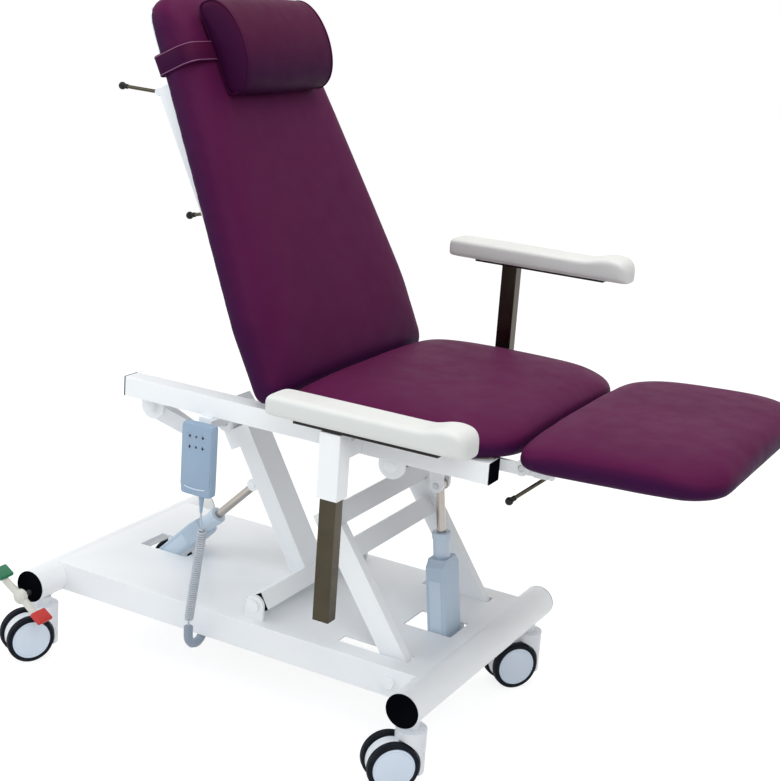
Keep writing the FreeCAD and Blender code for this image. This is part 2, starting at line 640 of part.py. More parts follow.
def rear_yoke():
    """The bent bar between the rails' rear plates, with two ears at the lift arm's top."""
    plate_x = FX - size("yoke_back")
    plate_z = FZ + size("yoke_up")
    rise = math.hypot(plate_x - SADDLE_X, plate_z - SADDLE_Z)
    up = Vector(plate_x - SADDLE_X, 0, plate_z - SADDLE_Z).normalize()
    out = Vector(up.z, 0, -up.x)
    half = size("rail_inner") - 10
    wide, bridge = 54.0, 34.0
    right = [(42, bridge), (42, -4), (156, -4), (half, rise - 18), (half, rise + 8), (168, 14), (60, 14),
             (52, bridge + 16)]
    outline = right + [(-y, high) for y, high in reversed(right)]
    origin = Vector(SADDLE_X, 0, SADDLE_Z) - out * (wide / 2)
    corners = [origin + SIDE * y + up * high for y, high in outline]
    pieces = [Part.Face(Part.makePolygon(corners + corners[:1])).extrude(out * wide)]
    for side in (-1, 1):
        pieces += rail_plate(plate_x, plate_z, side)
        y_ear = 42 if side > 0 else -52
        ear = Part.makeCylinder(20, 10, Vector(SADDLE_X, y_ear, SADDLE_Z), SIDE)
        reach = Part.makeBox(40, 10, bridge + 8, Vector(SADDLE_X - 20, y_ear, SADDLE_Z))
        reach.rotate(Vector(SADDLE_X, 0, SADDLE_Z), SIDE, math.degrees(math.atan2(up.x, up.z)))
        pieces += [ear, reach]
    shape = pieces[0].multiFuse(pieces[1:])
    return shape.cut(Part.makeCylinder(size("saddle_pin"), 120, Vector(SADDLE_X, -60, SADDLE_Z), SIDE))


node("rear_yoke", solid(rear_yoke()))
saddle_pin = rod("saddle_pin", 112, (str(SADDLE_X), -56, str(SADDLE_Z)), "y")
push_pin = rod("act_pin", 46, (PUSH_X, -23, "axle_z + push_up"), "y")
LEG_HINGE_X = "front_x + leg_hinge_x"
LEG_HINGE_Z = "axle_z + leg_hinge_up"
hinge_pins = [rod("hinge_pin", 24, (x, across(s, "rail_inner - 24", 24), z), "y")
              for x, z in ((HINGE_X, HINGE_Z), (LEG_HINGE_X, LEG_HINGE_Z)) for s in (-1, 1)]
node("seat_pivot_pins", group(saddle_pin, push_pin, *hinge_pins))


def sleeve(side):
    """A square sleeve for an arm post, on a stub from the rail."""
    x = "front_x - sleeve_back"
    y = "%d * sleeve_y" % side
    tall = "sleeve_top - sleeve_low"
    z = "axle_z + sleeve_low"
    outer = box(("sleeve_long", "sleeve_wide", tall), (x + " - sleeve_long / 2", y + " - sleeve_wide / 2", z))
    gap = "sleeve_y - sleeve_wide / 2 - rail_inner - rail_side"
    stub = box((36, gap, 36), (x + " - 18", across(side, "rail_inner + rail_side", gap), RAIL_LOW + " + 4"))
    inner = box(("post_long + 2 * post_gap", "post_wide + 2 * post_gap", tall),
                (x + " - post_long / 2 - post_gap", y + " - post_wide / 2 - post_gap", z))
    return cut(fuse(outer, stub), inner)


node("arm_sleeves", group(*mirrored(sleeve)))
BOARD_LONG = "seat_rear + seat_front - 2 * lip"
seat_board = node("seat_board", box((BOARD_LONG, "2 * seat_half - 2 * lip", "board_thick"),
                                    ("front_x - seat_rear + lip", "lip - seat_half", RAIL_TOP)))


# Soft forms: a crowned section lofted along a cushion, drawn in at its sides and ends
def pad_section(at, half, low, edge, crown, corner):
    """One closed section in the plane X = at: flat underside, rounded corners, crowned top."""
    top = low + edge
    bend = corner * (1 - math.sqrt(0.5))

    def spot(y, z):
        return Vector(at, y, z)

    right = [
        Part.LineSegment(spot(-half + corner, low), spot(half - corner, low)),
        Part.Arc(spot(half - corner, low), spot(half - bend, low + bend), spot(half, low + corner)),
        Part.LineSegment(spot(half, low + corner), spot(half, top - corner)),
        Part.Arc(spot(half, top - corner), spot(half - bend, top - bend), spot(half - corner, top)),
        Part.Arc(spot(half - corner, top), spot(0, top + crown), spot(corner - half, top)),
        Part.Arc(spot(corner - half, top), spot(bend - half, top - bend), spot(-half, top - corner)),
        Part.LineSegment(spot(-half, top - corner), spot(-half, low + corner)),
        Part.Arc(spot(-half, low + corner), spot(bend - half, low + bend), spot(corner - half, low)),
    ]
    return Part.Wire([curve.toShape() for curve in right])


# A cushion's middle: share of the length and side drawn in
CUSHION_MIDDLE = [(0.3, 4), (0.5, 5), (0.7, 4)]
CUSHION_CORNER = 9
CUSHION_EDGE = 14
CUSHION_FALL = 9
FOOT_SHARE = 0.4


def rounding(radius, inset):
    """How far a corner of a radius draws back at a distance in from its end."""
    left = max(0.0, radius - inset)
    return radius - math.sqrt(radius * radius - left * left)


def cushion(start, end, half_at, radii, low, edge, crown):
    """A crowned cushion along X with rounded plan corners, whose sides draw in between them."""
    long = end - start
    stations = []
    for radius, origin, way in ((radii[0], 0, 1), (radii[1], long, -1)):
        insets = {0.0, 2.0, 6.0, float(CUSHION_EDGE), 0.35 * radius, 0.65 * radius, float(radius)}
        stations += [(origin + way * inset, rounding(radius, inset), inset) for inset in insets]
    stations += [(share * long, draw, long) for share, draw in CUSHION_MIDDLE]
    wires = []
    for along, draw, inset in sorted(stations):
        sink = rounding(CUSHION_EDGE, inset)
        rise = 0.15 + 0.85 * math.sin(math.pi * along / long) ** 0.5
        foot = FOOT_SHARE * sink
        tall = edge - sink - foot - CUSHION_FALL * (1 - rise)
        wires.append(pad_section(start + along, half_at(along) - draw, low + foot, tall, crown * rise,
                                 CUSHION_CORNER))
    return Part.makeLoft(wires, True, True)


def boarded(shape, board, gap):
    """A cushion whose underside is hollowed for its board."""
    below = 20
    spot = Vector(board.XMin - gap, board.YMin - gap, board.ZMin - below)
    long, wide, tall = board.XLength + 2 * gap, board.YLength + 2 * gap, board.ZLength + below + gap
    return shape.cut(Part.makeBox(long, wide, tall, spot))


BOARD_GAP = 0.2
SEAT_CORNERS = (40, 125)
BACK_CORNERS = (26, 75)
REST_CORNERS = (80, 110)
doc.recompute()
seat_low = FZ + size("rail_low") + size("rail_side") + BOARD_GAP
seat_form = cushion(FX - size("seat_rear"), FX + size("seat_front"), lambda along: size("seat_half"),
                    SEAT_CORNERS, seat_low, size("seat_edge"), size("seat_crown"))
node("seat_cushion", solid(boarded(seat_form, seat_board.Shape.BoundBox, BOARD_GAP)))

# Handset on its hook, with its keys
HAND_X = "front_x - handset_back"
HAND_LOW = "axle_z + handset_low"
HAND_FACE = "-handset_y - handset_deep"
HOOK_LOW = HAND_LOW + " + handset_tall - 36"
hook_tab = box((30, 5, RAIL_LOW + " - (%s)" % HOOK_LOW), (HAND_X + " - 15", "-handset_y", HOOK_LOW))
hook_foot = box((30, 34, 5), (HAND_X + " - 15", "-handset_y", RAIL_LOW + " - 5"))
node("handset_hook", fuse(hook_tab, hook_foot))
KEYS = [(-17, 134), (17, 134), (-17, 110), (17, 110)]
case = box(("handset_wide", "handset_deep", "handset_tall"),
           (HAND_X + " - handset_wide / 2", HAND_FACE, HAND_LOW))
rounded = doc.addObject("Part::Fillet", "Rounded")
rounded.Base = case
doc.recompute()
upright = [i + 1 for i, e in enumerate(case.Shape.Edges) if abs(e.Length - size("handset_tall")) < 0.01]
rounded.Edges = [(index, 6.0, 6.0) for index in upright]
boot = doc.addObject("Part::Cone", "Boot")
for prop, text in (("Radius1", "cord_radius + 1.2"), ("Radius2", "cord_radius + 5"), ("Height", "boot_long")):
    boot.setExpression(prop, bound(text))
place(boot, (HAND_X + " + boot_ahead", "-handset_y - handset_deep / 2", HAND_LOW + " - boot_long"))
wells = [rod(6.3, 4, (HAND_X + " + %d" % x, HAND_FACE, HAND_LOW + " + %d" % z), "y") for x, z in KEYS]
node("handset_case", cut(fuse(rounded, boot), *wells))
for number, (x, z) in enumerate(KEYS, start=1):
    spot = (HAND_X + " + %d" % x, HAND_FACE + " - 0.6", HAND_LOW + " + %d" % z)
    node("handset_key_%d" % number, rod(6, 3, spot, "y"))


# Arms: a post in its sleeve, a flat plate and a moulded pad
def arm_pad(side, low):
    """A moulded arm pad along X with rounded ends and a raised front grip."""
    y = side * (size("pad_inner") + size("pad_outer")) / 2
    half = (size("pad_outer") - size("pad_inner")) / 2
    start = FX - size("pad_rear")
    long = size("pad_rear") + size("pad_front")
    thick = size("pad_thick")
    stations = [(0.0, 14, 0.8, 0), (0.03, 3, 1.0, 0), (0.2, 0, 1.0, 0), (0.72, 0, 1.0, 0), (0.8, 0, 1.0, 2),
                (0.88, 0, 1.0, 9), (0.96, 4, 1.0, 6), (1.0, 20, 0.75, 2)]
    wires = []
    for share, draw, height, lift in stations:
        sink = thick * (1 - height) / 2
        wires.append(pad_section(start + long * share, half - draw, low + sink, thick * height + lift, 3, 9))
    shape = Part.makeLoft(wires, True, True)
    shape.translate(Vector(0, y, 0))
    return shape


def arm(label, side, raised):
    """An arm on one side, raised by a distance from its lowest place."""
    x = "front_x - sleeve_back"
    y = "%d * sleeve_y" % side
    low = "axle_z + plate_up + " + raised
    node(label + "_post", box(("post_long", "post_wide", "post_height"),
                              (x + " - post_long / 2", y + " - post_wide / 2", low + " - post_height")))
    node(label + "_plate", box((327, 46, 6), ("front_x - 259", y + " - 23", low)))
    lift = size("arm_travel") if raised == "arm_travel" else 0
    node(label + "_pad", solid(arm_pad(side, FZ + size("plate_up") + 6 + lift)))


arm("near_arm", -1, "0")
arm("far_arm", 1, "arm_travel")


# Actuators: a case that swings on the base, and the rod that it pushes
def actuator(label, foot, head_x, head_z, case, mouth):
    """Case and rod, built upright on the lower pin and leaned towards the upper pin."""
    run = head_x - (FX - foot[0])
    rise = head_z - (FZ + foot[1])
    span = math.hypot(run, rise)
    turn = math.degrees(math.atan2(run, rise))
    spot = (str(FX - foot[0]), "0", str(FZ + foot[1]))
    block = box(("2 * act_half", "2 * act_half_wide", case + " + 20"), ("-act_half", "-act_half_wide", -20))
    tube = rod("act_tube_radius", mouth + " - " + case, (0, 0, case))
    bore = rod("act_bore", mouth + " - 55", (0, 0, 55))
    foot_bore = rod("act_pin + running", "2 * act_half_wide", (0, "-act_half_wide", 0), "y")
    node(label + "_case", place(group(cut(fuse(block, tube), bore, foot_bore)), spot, turn))
    stem = rod("act_rod", span - size("act_rod_in"), (0, 0, "act_rod_in"))
    eye = rod(13, 22, (0, -11, span), "y")
    eye_bore = rod("act_pin + running", 22, (0, -11, span), "y")
    node(label + "_rod", place(group(cut(fuse(stem, eye), eye_bore)), spot, turn))


actuator("front_actuator", (size("front_foot_back"), size("front_foot_up")),
         FX - size("push_back"), FZ + size("push_up"), "front_case", "front_mouth")
actuator("rear_actuator", (size("rear_foot_back"), size("rear_foot_up")),
         FX - size("rear_push_back"), FZ + size("rear_push_up"), "rear_case", "rear_mouth")


# Gas springs: cylinders fixed under the seat, rods that the back and the leg rest push
def spring_rod(pin_x, pin_z, axis_z, y, inner, radius, eye):
    """A rod along X from its eye to an inner end; the eye turns on a crank pin."""
    low, high = sorted((pin_x, inner))
    stem = rod(radius, high - low, (low, y, axis_z), "x")
    ring = rod(eye, 20, (pin_x, y + " - 10", pin_z), "y")
    hole = rod("5 + running", 20, (pin_x, y + " - 10", pin_z), "y")
    return cut(fuse(stem, ring), hole)


back_cylinder = cut(rod(15, 160.5, ("front_x - 322", "-back_spring_y", "axle_z + back_spring_up"), "x"),
                    rod(12.5, 150, ("front_x - 322", "-back_spring_y", "axle_z + back_spring_up"), "x"))
leg_cylinder = cut(rod(11, 201, ("front_x - 91.5", "leg_spring_y", "axle_z + leg_spring_up"), "x"),
                   rod(9.2, 190, ("front_x - 80.5", "leg_spring_y", "axle_z + leg_spring_up"), "x"))
node("gas_spring_cylinders", group(back_cylinder, leg_cylinder))
half_recline = math.radians((90 - size("back_lean")) / 2)
back_pin_x = FX - size("hinge_back") - size("back_crank") * math.sin(half_recline)
back_pin_z = FZ + size("hinge_up") - size("back_crank") * math.cos(half_recline)
node("back_spring_rod", spring_rod(back_pin_x, back_pin_z, back_pin_z, "-back_spring_y", FX - 305, 5, 11))
LEG_SWING = 65
half_swing = math.radians(LEG_SWING / 2)
leg_pin_x = FX + size("leg_hinge_x") + size("leg_crank") * math.sin(half_swing)
leg_pin_z = FZ + size("leg_hinge_up") - size("leg_crank") * math.cos(half_swing)
node("leg_spring_rod", spring_rod(leg_pin_x, leg_pin_z, leg_pin_z, "leg_spring_y", FX + 92, 4, 9))


# Back: a welded frame with its board, the cushion, the head pillow and two release levers
def local(dx, dz, turn):
    """A world offset seen in a frame that is turned about Y, as (x, z)."""
    a = math.radians(turn)
    return dx * math.cos(a) - dz * math.sin(a), dx * math.sin(a) + dz * math.cos(a)


def lever(pivot, tip, axis, toward, reach):
    """A release lever and the clevis that carries it: (lever shape, clevis shape)."""
    third = axis.cross(toward)
    boss = Part.makeCylinder(7, 14, pivot - axis * 7, axis)
    bar = Part.makeCylinder(4, (tip - pivot).Length, pivot, tip - pivot)
    ball = Part.makeSphere(8, tip, tip - pivot)
    bore = Part.makeCylinder(3 + size("running"), 14, pivot - axis * 7, axis)
    handle = boss.multiFuse([bar, ball]).cut(bore)
    clevis = [Part.makeCylinder(3, 24, pivot - axis * 12, axis)]
    for side in (-12, 8):
        corners = [pivot + axis * side + third * a + toward * b
                   for a, b in ((-7, 0), (7, 0), (7, reach), (-7, reach))]
        clevis.append(Part.Face(Part.makePolygon(corners + corners[:1])).extrude(axis * 4))
        clevis.append(Part.makeCylinder(7, 4, pivot + axis * side, axis))
    return handle, clevis[0].multiFuse(clevis[1:])


BACK_SPOT = (HINGE_X, "0", HINGE_Z)
TUBE_REAR = size("back_rear") + size("board_thick") + size("frame_tube_deep")
CLEVIS_REACH = 8
upper_spot = Vector(-TUBE_REAR - CLEVIS_REACH, -222.5, 694)
lower_spot = Vector(-TUBE_REAR - CLEVIS_REACH, -170, 415)
upper_lever, upper_clevis = lever(upper_spot, Vector(-154, -222.5, 744), SIDE, FORWARD, CLEVIS_REACH)
lower_lever, lower_clevis = lever(lower_spot, Vector(-136, -170, 432), SIDE, FORWARD, CLEVIS_REACH)
BACK_CRANK = [(-54, 20), (-30, 20), (-24, -15), (-68, -61), (-92, -61), (-92, -40)]
REST_CRANK = [(24, 0), (46, 0), (34, -44), (10, -44), (10, -26)]
CRANK_PIN = 5


def crank(polygon, y, pin, radius):
    """Two flat cheeks and the pin between them, for a gas spring's eye."""
    cheeks = [plate(polygon, 6, low) for low in (y - 18, y + 12)]
    return cheeks + [rod(radius, 36, (pin[0], y - 18, pin[1]), "y")]


def back_frame():
    """Side tubes, bars, hinge ears, board, crank and clevises, built upright on the hinge."""
    deep = "frame_tube_deep"
    rear = "-back_rear - board_thick - frame_tube_deep"
    pieces = []
    for side in (-1, 1):
        tube_y = across(side, "frame_tube_in", "frame_tube_wide")
        pieces.append(box((deep, "frame_tube_wide", 714), (rear, tube_y, -15)))
        y = across(side, "rail_inner - 24", 12)
        pieces.append(rod(14, 12, (0, y, 0), "y"))
        pieces.append(box(("back_rear + board_thick + 4", 12, 33), ("-back_rear - board_thick - 4", y, -15)))
    bars = ((-15, 25, "rail_inner - 12"), (398, 432, "frame_tube_in"), (664, 699, "frame_tube_in"))
    for low, high, half in bars:
        pieces.append(box((deep, "2 * (%s)" % half, high - low), (rear, "-(%s)" % half, low)))
    x = -size("back_rear") - size("board_thick")
    low, high = size("back_half_low") - 18, size("back_half_top") - 14
    outline = [Vector(x, y, z) for y, z in ((-low, 24), (low, 24), (high, 866), (-high, 866))]
    board = Part.Face(Part.makePolygon(outline + outline[:1])).extrude(FORWARD * size("board_thick"))
    turn = -size("back_lean")
    pin = local(back_pin_x - FX + size("hinge_back"), back_pin_z - FZ - size("hinge_up"), turn)
    cheeks = crank(BACK_CRANK, -size("back_spring_y"), pin, CRANK_PIN)
    pieces += [solid(board), solid(upper_clevis), solid(lower_clevis)] + cheeks
    holes = [rod("hinge_pin + running", 12, (0, across(s, "rail_inner - 24", 12), 0), "y") for s in (-1, 1)]
    return place(group(cut(fuse(*pieces), *holes)), BACK_SPOT, "-back_lean")


node("back_frame", back_frame())
back_hinge = Vector(FX - size("hinge_back"), 0, FZ + size("hinge_up"))
back_turn = Placement(back_hinge, Rotation(SIDE, -size("back_lean")))
swap = Placement(Vector(), Rotation(Vector(1, 0, 1), 180))


def on_back(label, shape, turned=Placement()):
    """A soft or bent piece of the back, made upright and leaned with the frame."""
    thing = solid(shape)
    thing.Placement = back_turn.multiply(turned)
    node(label, thing)


def back_half(along):
    """Half the back cushion's width: even above the hinge, then tapered to the top."""
    low, high, waist = size("back_half_low"), size("back_half_top"), size("back_waist")
    return low - (low - high) * max(0.0, along - waist) / (size("back_long") - waist)


back_form = cushion(0, size("back_long"), back_half, BACK_CORNERS, -size("back_rear"), size("back_thick"),
                    size("back_crown"))
for side in (-1, 1):
    pocket_y = size("rail_inner") - 27 if side > 0 else -size("rail_inner") - 3
    back_form = back_form.cut(Part.makeBox(21, 30, 30, Vector(-1, pocket_y, -size("back_rear") - 2)))
on_back("back_cushion", back_form, swap)
on_back("upper_back_lever", upper_lever)
on_back("lower_back_lever", lower_lever)


def pillow_section(y, grow):
    """A D-shaped section of the head pillow: flat against the back, round in front."""
    rear, middle = 69.5, 735.0

    def spot(out, up):
        return Vector(rear + out * grow, y, middle + up * grow)

    curves = [
        Part.LineSegment(spot(0, -106), spot(0, 106)),
        Part.Arc(spot(0, 106), spot(47, 100), spot(74, 55)),
        Part.Arc(spot(74, 55), spot(83, 0), spot(74, -55)),
        Part.Arc(spot(74, -55), spot(47, -100), spot(0, -106)),
    ]
    return Part.Wire([curve.toShape() for curve in curves])


PILLOW_ENDS = [(174, 0.9), (169, 0.97), (154, 1.0), (90, 1.03)]
pillow_stations = [(-y, grow) for y, grow in PILLOW_ENDS] + [(0, 1.04)] + PILLOW_ENDS[::-1]
pillow = Part.makeLoft([pillow_section(y, grow) for y, grow in pillow_stations], True, True)
strap_rear = -size("back_rear") - size("board_thick") - 0.8
loop_out = Part.makeBox(69 - strap_rear + 2, 526, 45, Vector(strap_rear - 2, -263, 714))
loop_in = Part.makeBox(67 - strap_rear, 522, 45, Vector(strap_rear, -261, 714))
on_back("head_pillow", Part.makeCompound([pillow, loop_out.cut(loop_in)]))

# Leg rest: a welded frame with its board, the cushion and a release lever
REST_SPOT = (LEG_HINGE_X, "0", LEG_HINGE_Z)
rest_axis = Vector(-0.73, 0.68, 0).normalize()
rest_lever, rest_clevis = lever(Vector(30, -196, -30), Vector(-34, -241, -82), rest_axis, Vector(0, 0, 1), 12)


def leg_frame():
    """Side tubes, bars, hinge ears, board, crank and clevis, built level on the hinge."""
    pieces = []
    for side in (-1, 1):
        pieces.append(box((308, 32, 28), (22, across(side, 180, 32), -18)))
        y = across(side, "rail_inner - 24", 12)
        pieces.append(rod(16, 12, (0, y, 0), "y"))
        pieces.append(box((50, 12, 26), (0, y, -16)))
    for low in (22, 302):
        half = "rail_inner - 12" if low == 22 else "180"
        pieces.append(box((28, "2 * (%s)" % half, 28), (low, "-(%s)" % half, -18)))
    pieces.append(box(("rest_long - lip - 22", "2 * rest_half - 2 * lip", "rest_board"),
                      (22, "lip - rest_half", "rest_board")))
    turn = -size("leg_rise")
    pin = local(leg_pin_x - FX - size("leg_hinge_x"), leg_pin_z - FZ - size("leg_hinge_up"), turn)
    cheeks = crank(REST_CRANK, size("leg_spring_y"), pin, CRANK_PIN)
    pieces += [solid(rest_clevis)] + cheeks
    holes = [rod("hinge_pin + running", 12, (0, across(s, "rail_inner - 24", 12), 0), "y") for s in (-1, 1)]
    return place(group(cut(fuse(*pieces), *holes)), REST_SPOT, "-leg_rise")


node("leg_rest_frame", leg_frame())
rest_hinge = Vector(FX + size("leg_hinge_x"), 0, FZ + size("leg_hinge_up"))
rest_turn = Placement(rest_hinge, Rotation(SIDE, -size("leg_rise")))
rest_form = cushion(1, size("rest_long"), lambda along: size("rest_half"), REST_CORNERS, size("rest_low"),
                    size("rest_edge"), size("rest_crown"))
board_half = size("rest_half") - size("lip")
board_box = FreeCAD.BoundBox(-30, -board_half, size("rest_board"), size("rest_long") - size("lip"),
                             board_half, 2 * size("rest_board"))
rest_pad = boarded(rest_form, board_box, BOARD_GAP)
for label, shape in (("leg_rest_lever", rest_lever), ("leg_rest_cushion", rest_pad)):
    piece = solid(shape)
    piece.Placement = rest_turn
    node(label, piece)


# Handset cord: straight out of the handset, curled, then into a moulded elbow under the tray
def biarc(start, heading, end, arrival):
    """Two arcs that leave start along heading and reach end along arrival."""
    chord = end - start
    both = heading + arrival
    bend = 2 * (1 - heading.dot(arrival))
    along = chord.dot(both)
    reach = (math.sqrt(along * along + bend * chord.dot(chord)) - along) / bend
    first = start + heading * reach
    second = end - arrival * reach
    joint = (first + second) * 0.5
    return [tangent_arc(start, first, joint), tangent_arc(joint, second, end)]


def tangent_arc(start, corner, end):
    """The arc from start to end that is tangent to both lines through corner."""
    middle = (start + end) * 0.5
    half = (start - middle).Length
    angle = math.acos(half / (start - corner).Length)
    return Part.Arc(start, middle + (corner - middle).normalize() * half * math.tan(angle / 2), end).toShape()


cord_r = size("cord_radius")
leave = Vector(FX - size("handset_back") + size("boot_ahead"), -size("handset_y") - size("handset_deep") / 2,
               FZ + size("handset_low") - size("boot_long"))
elbow_y = -300.0
elbow_top = FZ + 5.0
arrive = Vector(FX - size("socket_back"), elbow_y, elbow_top)
down = Vector(0, 0, -1)
coil_top = leave + Vector(4, 3, -60)
coil_low = arrive + Vector(0, 0, 16)
axis = (coil_low - coil_top).normalize()
side_one = axis.cross(Vector(0, 1, 0)).normalize()
side_two = axis.cross(side_one)
coil_long = (coil_low - coil_top).Length
turns = size("coil_turns")
pitch = coil_long / turns
coil_r = size("coil_radius")


def curl(turn):
    """A point of the curls and its heading, some turns down from their top."""
    a = 2 * math.pi * turn
    out = side_one * math.cos(a) + side_two * math.sin(a)
    on = side_two * math.cos(a) - side_one * math.sin(a)
    spot = coil_top + axis * (pitch * turn) + out * coil_r
    return spot, (on * (2 * math.pi * coil_r) + axis * pitch).normalize()


first_straight = leave + down * 48
last_straight = arrive - down * (2 * cord_r)
edges = [Part.LineSegment(leave, first_straight).toShape()]
here, heading = first_straight, down
for half_turn in range(int(2 * turns) + 1):
    spot, way = curl(half_turn / 2)
    edges += biarc(here, heading, spot, way)
    here, heading = spot, way
edges += biarc(here, heading, last_straight, down)
edges.append(Part.LineSegment(last_straight, arrive).toShape())
route = Part.Wire(edges)


def tube(wire, start, heading, radius):
    """A round tube swept along a wire, checked against its section times its length."""
    shell = Part.BRepOffsetAPI.MakePipeShell(wire)
    shell.add(Part.Wire(Part.Circle(start, heading, radius).toShape()))
    shell.build()
    shell.makeSolid()
    shape = shell.shape()
    expected = math.pi * radius ** 2 * wire.Length
    print("tube length %.1f volume ratio %.4f" % (wire.Length, shape.Volume / expected))
    return shape


def least_gap(wire, radius, skip):
    """The smallest gap between two stretches of a tube that lie more than skip apart along it."""
    step = 1.0
    count = int(wire.Length / step)
    points = [tuple(p) for p in wire.discretize(count)]
    away = int(skip / step)
    best = min(math.dist(points[i], points[j])
               for i in range(count) for j in range(i + away, min(count, i + 6 * away)))
    return best - 2 * radius


print("cord least gap %.2f mm" % least_gap(route, cord_r, 0.6 * 2 * math.pi * coil_r))
node("handset_cord", solid(tube(route, leave, down, cord_r)))
bend_r = (-size("socket_y") - elbow_y) / 2
bend_z = FZ - 16.0
mid_y = elbow_y + bend_r
socket_low = FZ + size("tray_up") - size("sheet_thick") - 30
ex = arrive.x


def on_bend(degrees):
    """A point of the elbow's half turn, from its near leg round to its far one."""
    a = math.radians(degrees)
    return Vector(ex, mid_y - bend_r * math.cos(a), bend_z - bend_r * math.sin(a))


elbow_edges = [
    Part.LineSegment(arrive, on_bend(0)).toShape(),
    Part.Arc(on_bend(0), on_bend(45), on_bend(90)).toShape(),
    Part.Arc(on_bend(90), on_bend(135), on_bend(180)).toShape(),
    Part.LineSegment(on_bend(180), Vector(ex, mid_y + bend_r, socket_low)).toShape(),
]
node("cord_elbow", solid(tube(Part.Wire(elbow_edges), arrive, down, size("elbow_radius"))))

# Check the document, then write one file per sub-part
doc.recompute()
for thing in doc.Objects:
    if "Invalid" in thing.State or "Error" in thing.State:
        raise RuntimeError("failed object: %s %s" % (thing.Name, thing.Label))
os.makedirs("parts", exist_ok=True)
for thing in parts:
    if thing.Shape.isNull() or not thing.Shape.isValid() or not thing.Shape.Solids:
        raise RuntimeError("bad shape: " + thing.Label)
for thing in parts:
    thing.Shape.exportStep("parts/" + thing.Label + ".step")
print("%d sub-parts" % len(parts))
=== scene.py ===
"""Looks of an electric treatment recliner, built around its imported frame, in metres."""

import json
import logging
import math
from dataclasses import dataclass
from enum import Enum
from typing import Iterable, Sequence

import bmesh
import bpy
import numpy as np
from mathutils import Matrix, Vector


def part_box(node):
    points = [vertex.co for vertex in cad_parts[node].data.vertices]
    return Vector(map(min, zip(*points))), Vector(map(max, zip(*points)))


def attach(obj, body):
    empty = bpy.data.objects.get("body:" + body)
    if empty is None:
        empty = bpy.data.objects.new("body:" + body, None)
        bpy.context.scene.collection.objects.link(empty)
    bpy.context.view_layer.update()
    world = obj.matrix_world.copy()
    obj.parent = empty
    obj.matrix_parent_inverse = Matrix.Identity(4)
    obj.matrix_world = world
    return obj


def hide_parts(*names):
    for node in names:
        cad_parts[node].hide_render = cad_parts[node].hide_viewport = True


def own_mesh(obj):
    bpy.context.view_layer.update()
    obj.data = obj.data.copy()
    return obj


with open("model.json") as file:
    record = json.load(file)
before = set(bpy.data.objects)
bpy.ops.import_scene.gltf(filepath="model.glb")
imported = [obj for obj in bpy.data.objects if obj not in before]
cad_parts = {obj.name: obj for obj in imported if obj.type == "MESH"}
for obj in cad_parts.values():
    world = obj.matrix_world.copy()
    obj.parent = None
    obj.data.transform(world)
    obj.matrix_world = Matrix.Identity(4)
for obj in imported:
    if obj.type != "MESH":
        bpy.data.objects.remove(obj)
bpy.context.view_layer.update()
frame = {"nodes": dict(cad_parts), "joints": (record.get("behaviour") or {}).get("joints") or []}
LOG = logging.getLogger("recliner")
MM = 0.001

Colour = tuple[float, float, float]
Point = tuple[float, float, float]
Outline = list[tuple[float, float]]
Obj = bpy.types.Object
BMesh = bmesh.types.BMesh
Tree = bpy.types.NodeTree
Socket = bpy.types.NodeSocket

PATCH_SPAN = (0.38, 0.62)
SMEAR_SPAN = (0.3, 0.7)
SMEARS_PER_PATCH = 3.7
EDGE_SPAN = (0.52, 0.60)
# Heights of the normal between which the painted shade on sideways and downward faces grows from none to
# full.
PAINTED_SHADE_SPAN = (0.56, -0.05)
COAT_ROUGHNESS = 0.12
SHEEN_ROUGHNESS = 0.4
RELIEF_DEPTH = 0.5 * MM
FILL_PRESSURE = 4.0
FILL_FRAMES = 12
IRONING_ROUNDS = 16
BACK_LEAN = 26.5
REST_RISE = 2.5
CASTORS = ("front_near", "front_far", "rear_near", "rear_far")


class Grain(Enum):
    """How a surface breaks up the light close to."""

    MOULDED = "moulded"
    COATED = "coated"
    EMBOSSED = "embossed"
    BRUSHED = "brushed"
    PLIED = "plied"


class Side(Enum):
    """The sitter's right, which is near in the picture, or left."""

    NEAR = -1
    FAR = 1


def wire(tree: Tree, made: bpy.types.Node, inputs: dict) -> bpy.types.Node:
    """Set a node's inputs, each to a value or to a link from a socket."""
    for key, value in inputs.items():
        if isinstance(value, Socket):
            tree.links.new(value, made.inputs[key])
        else:
            made.inputs[key].default_value = value
    return made


def node(tree: Tree, kind: str, inputs: dict | None = None, **settings: str) -> bpy.types.Node:
    """Add a shader node.

    Args:
        tree: The tree that it joins.
        kind: Its type, without the common start of the name.
        inputs: Values or sockets for its inputs.
        settings: Its own settings.

    Returns:
        The new node.
    """
    made = tree.nodes.new("ShaderNode" + kind)
    for name, value in settings.items():
        setattr(made, name, value)
    return wire(tree, made, inputs or {})


def noise(tree: Tree, place: Socket, scale: float, detail: float) -> Socket:
    """A noise at a scale to the metre."""
    return node(tree, "TexNoise", {"Scale": scale, "Detail": detail, "Vector": place}).outputs["Fac"]


def span(tree: Tree, value: Socket, low: float, high: float, to_low: float = 0.0,
         to_high: float = 1.0) -> Socket:
    """A value carried from one range to another and held at its ends."""
    ends = {"From Min": low, "From Max": high, "To Min": to_low, "To Max": to_high}
    return node(tree, "MapRange", {"Value": value, **ends}).outputs["Result"]


def mix(tree: Tree, factor: Socket, first: Colour | Socket, second: Colour) -> Socket:
    """A blend of two colours, the first of which may be a socket."""
    start = first if isinstance(first, Socket) else (*first, 1.0)
    return node(tree, "Mix", {0: factor, 6: start, 7: (*second, 1.0)}, data_type="RGBA").outputs[2]


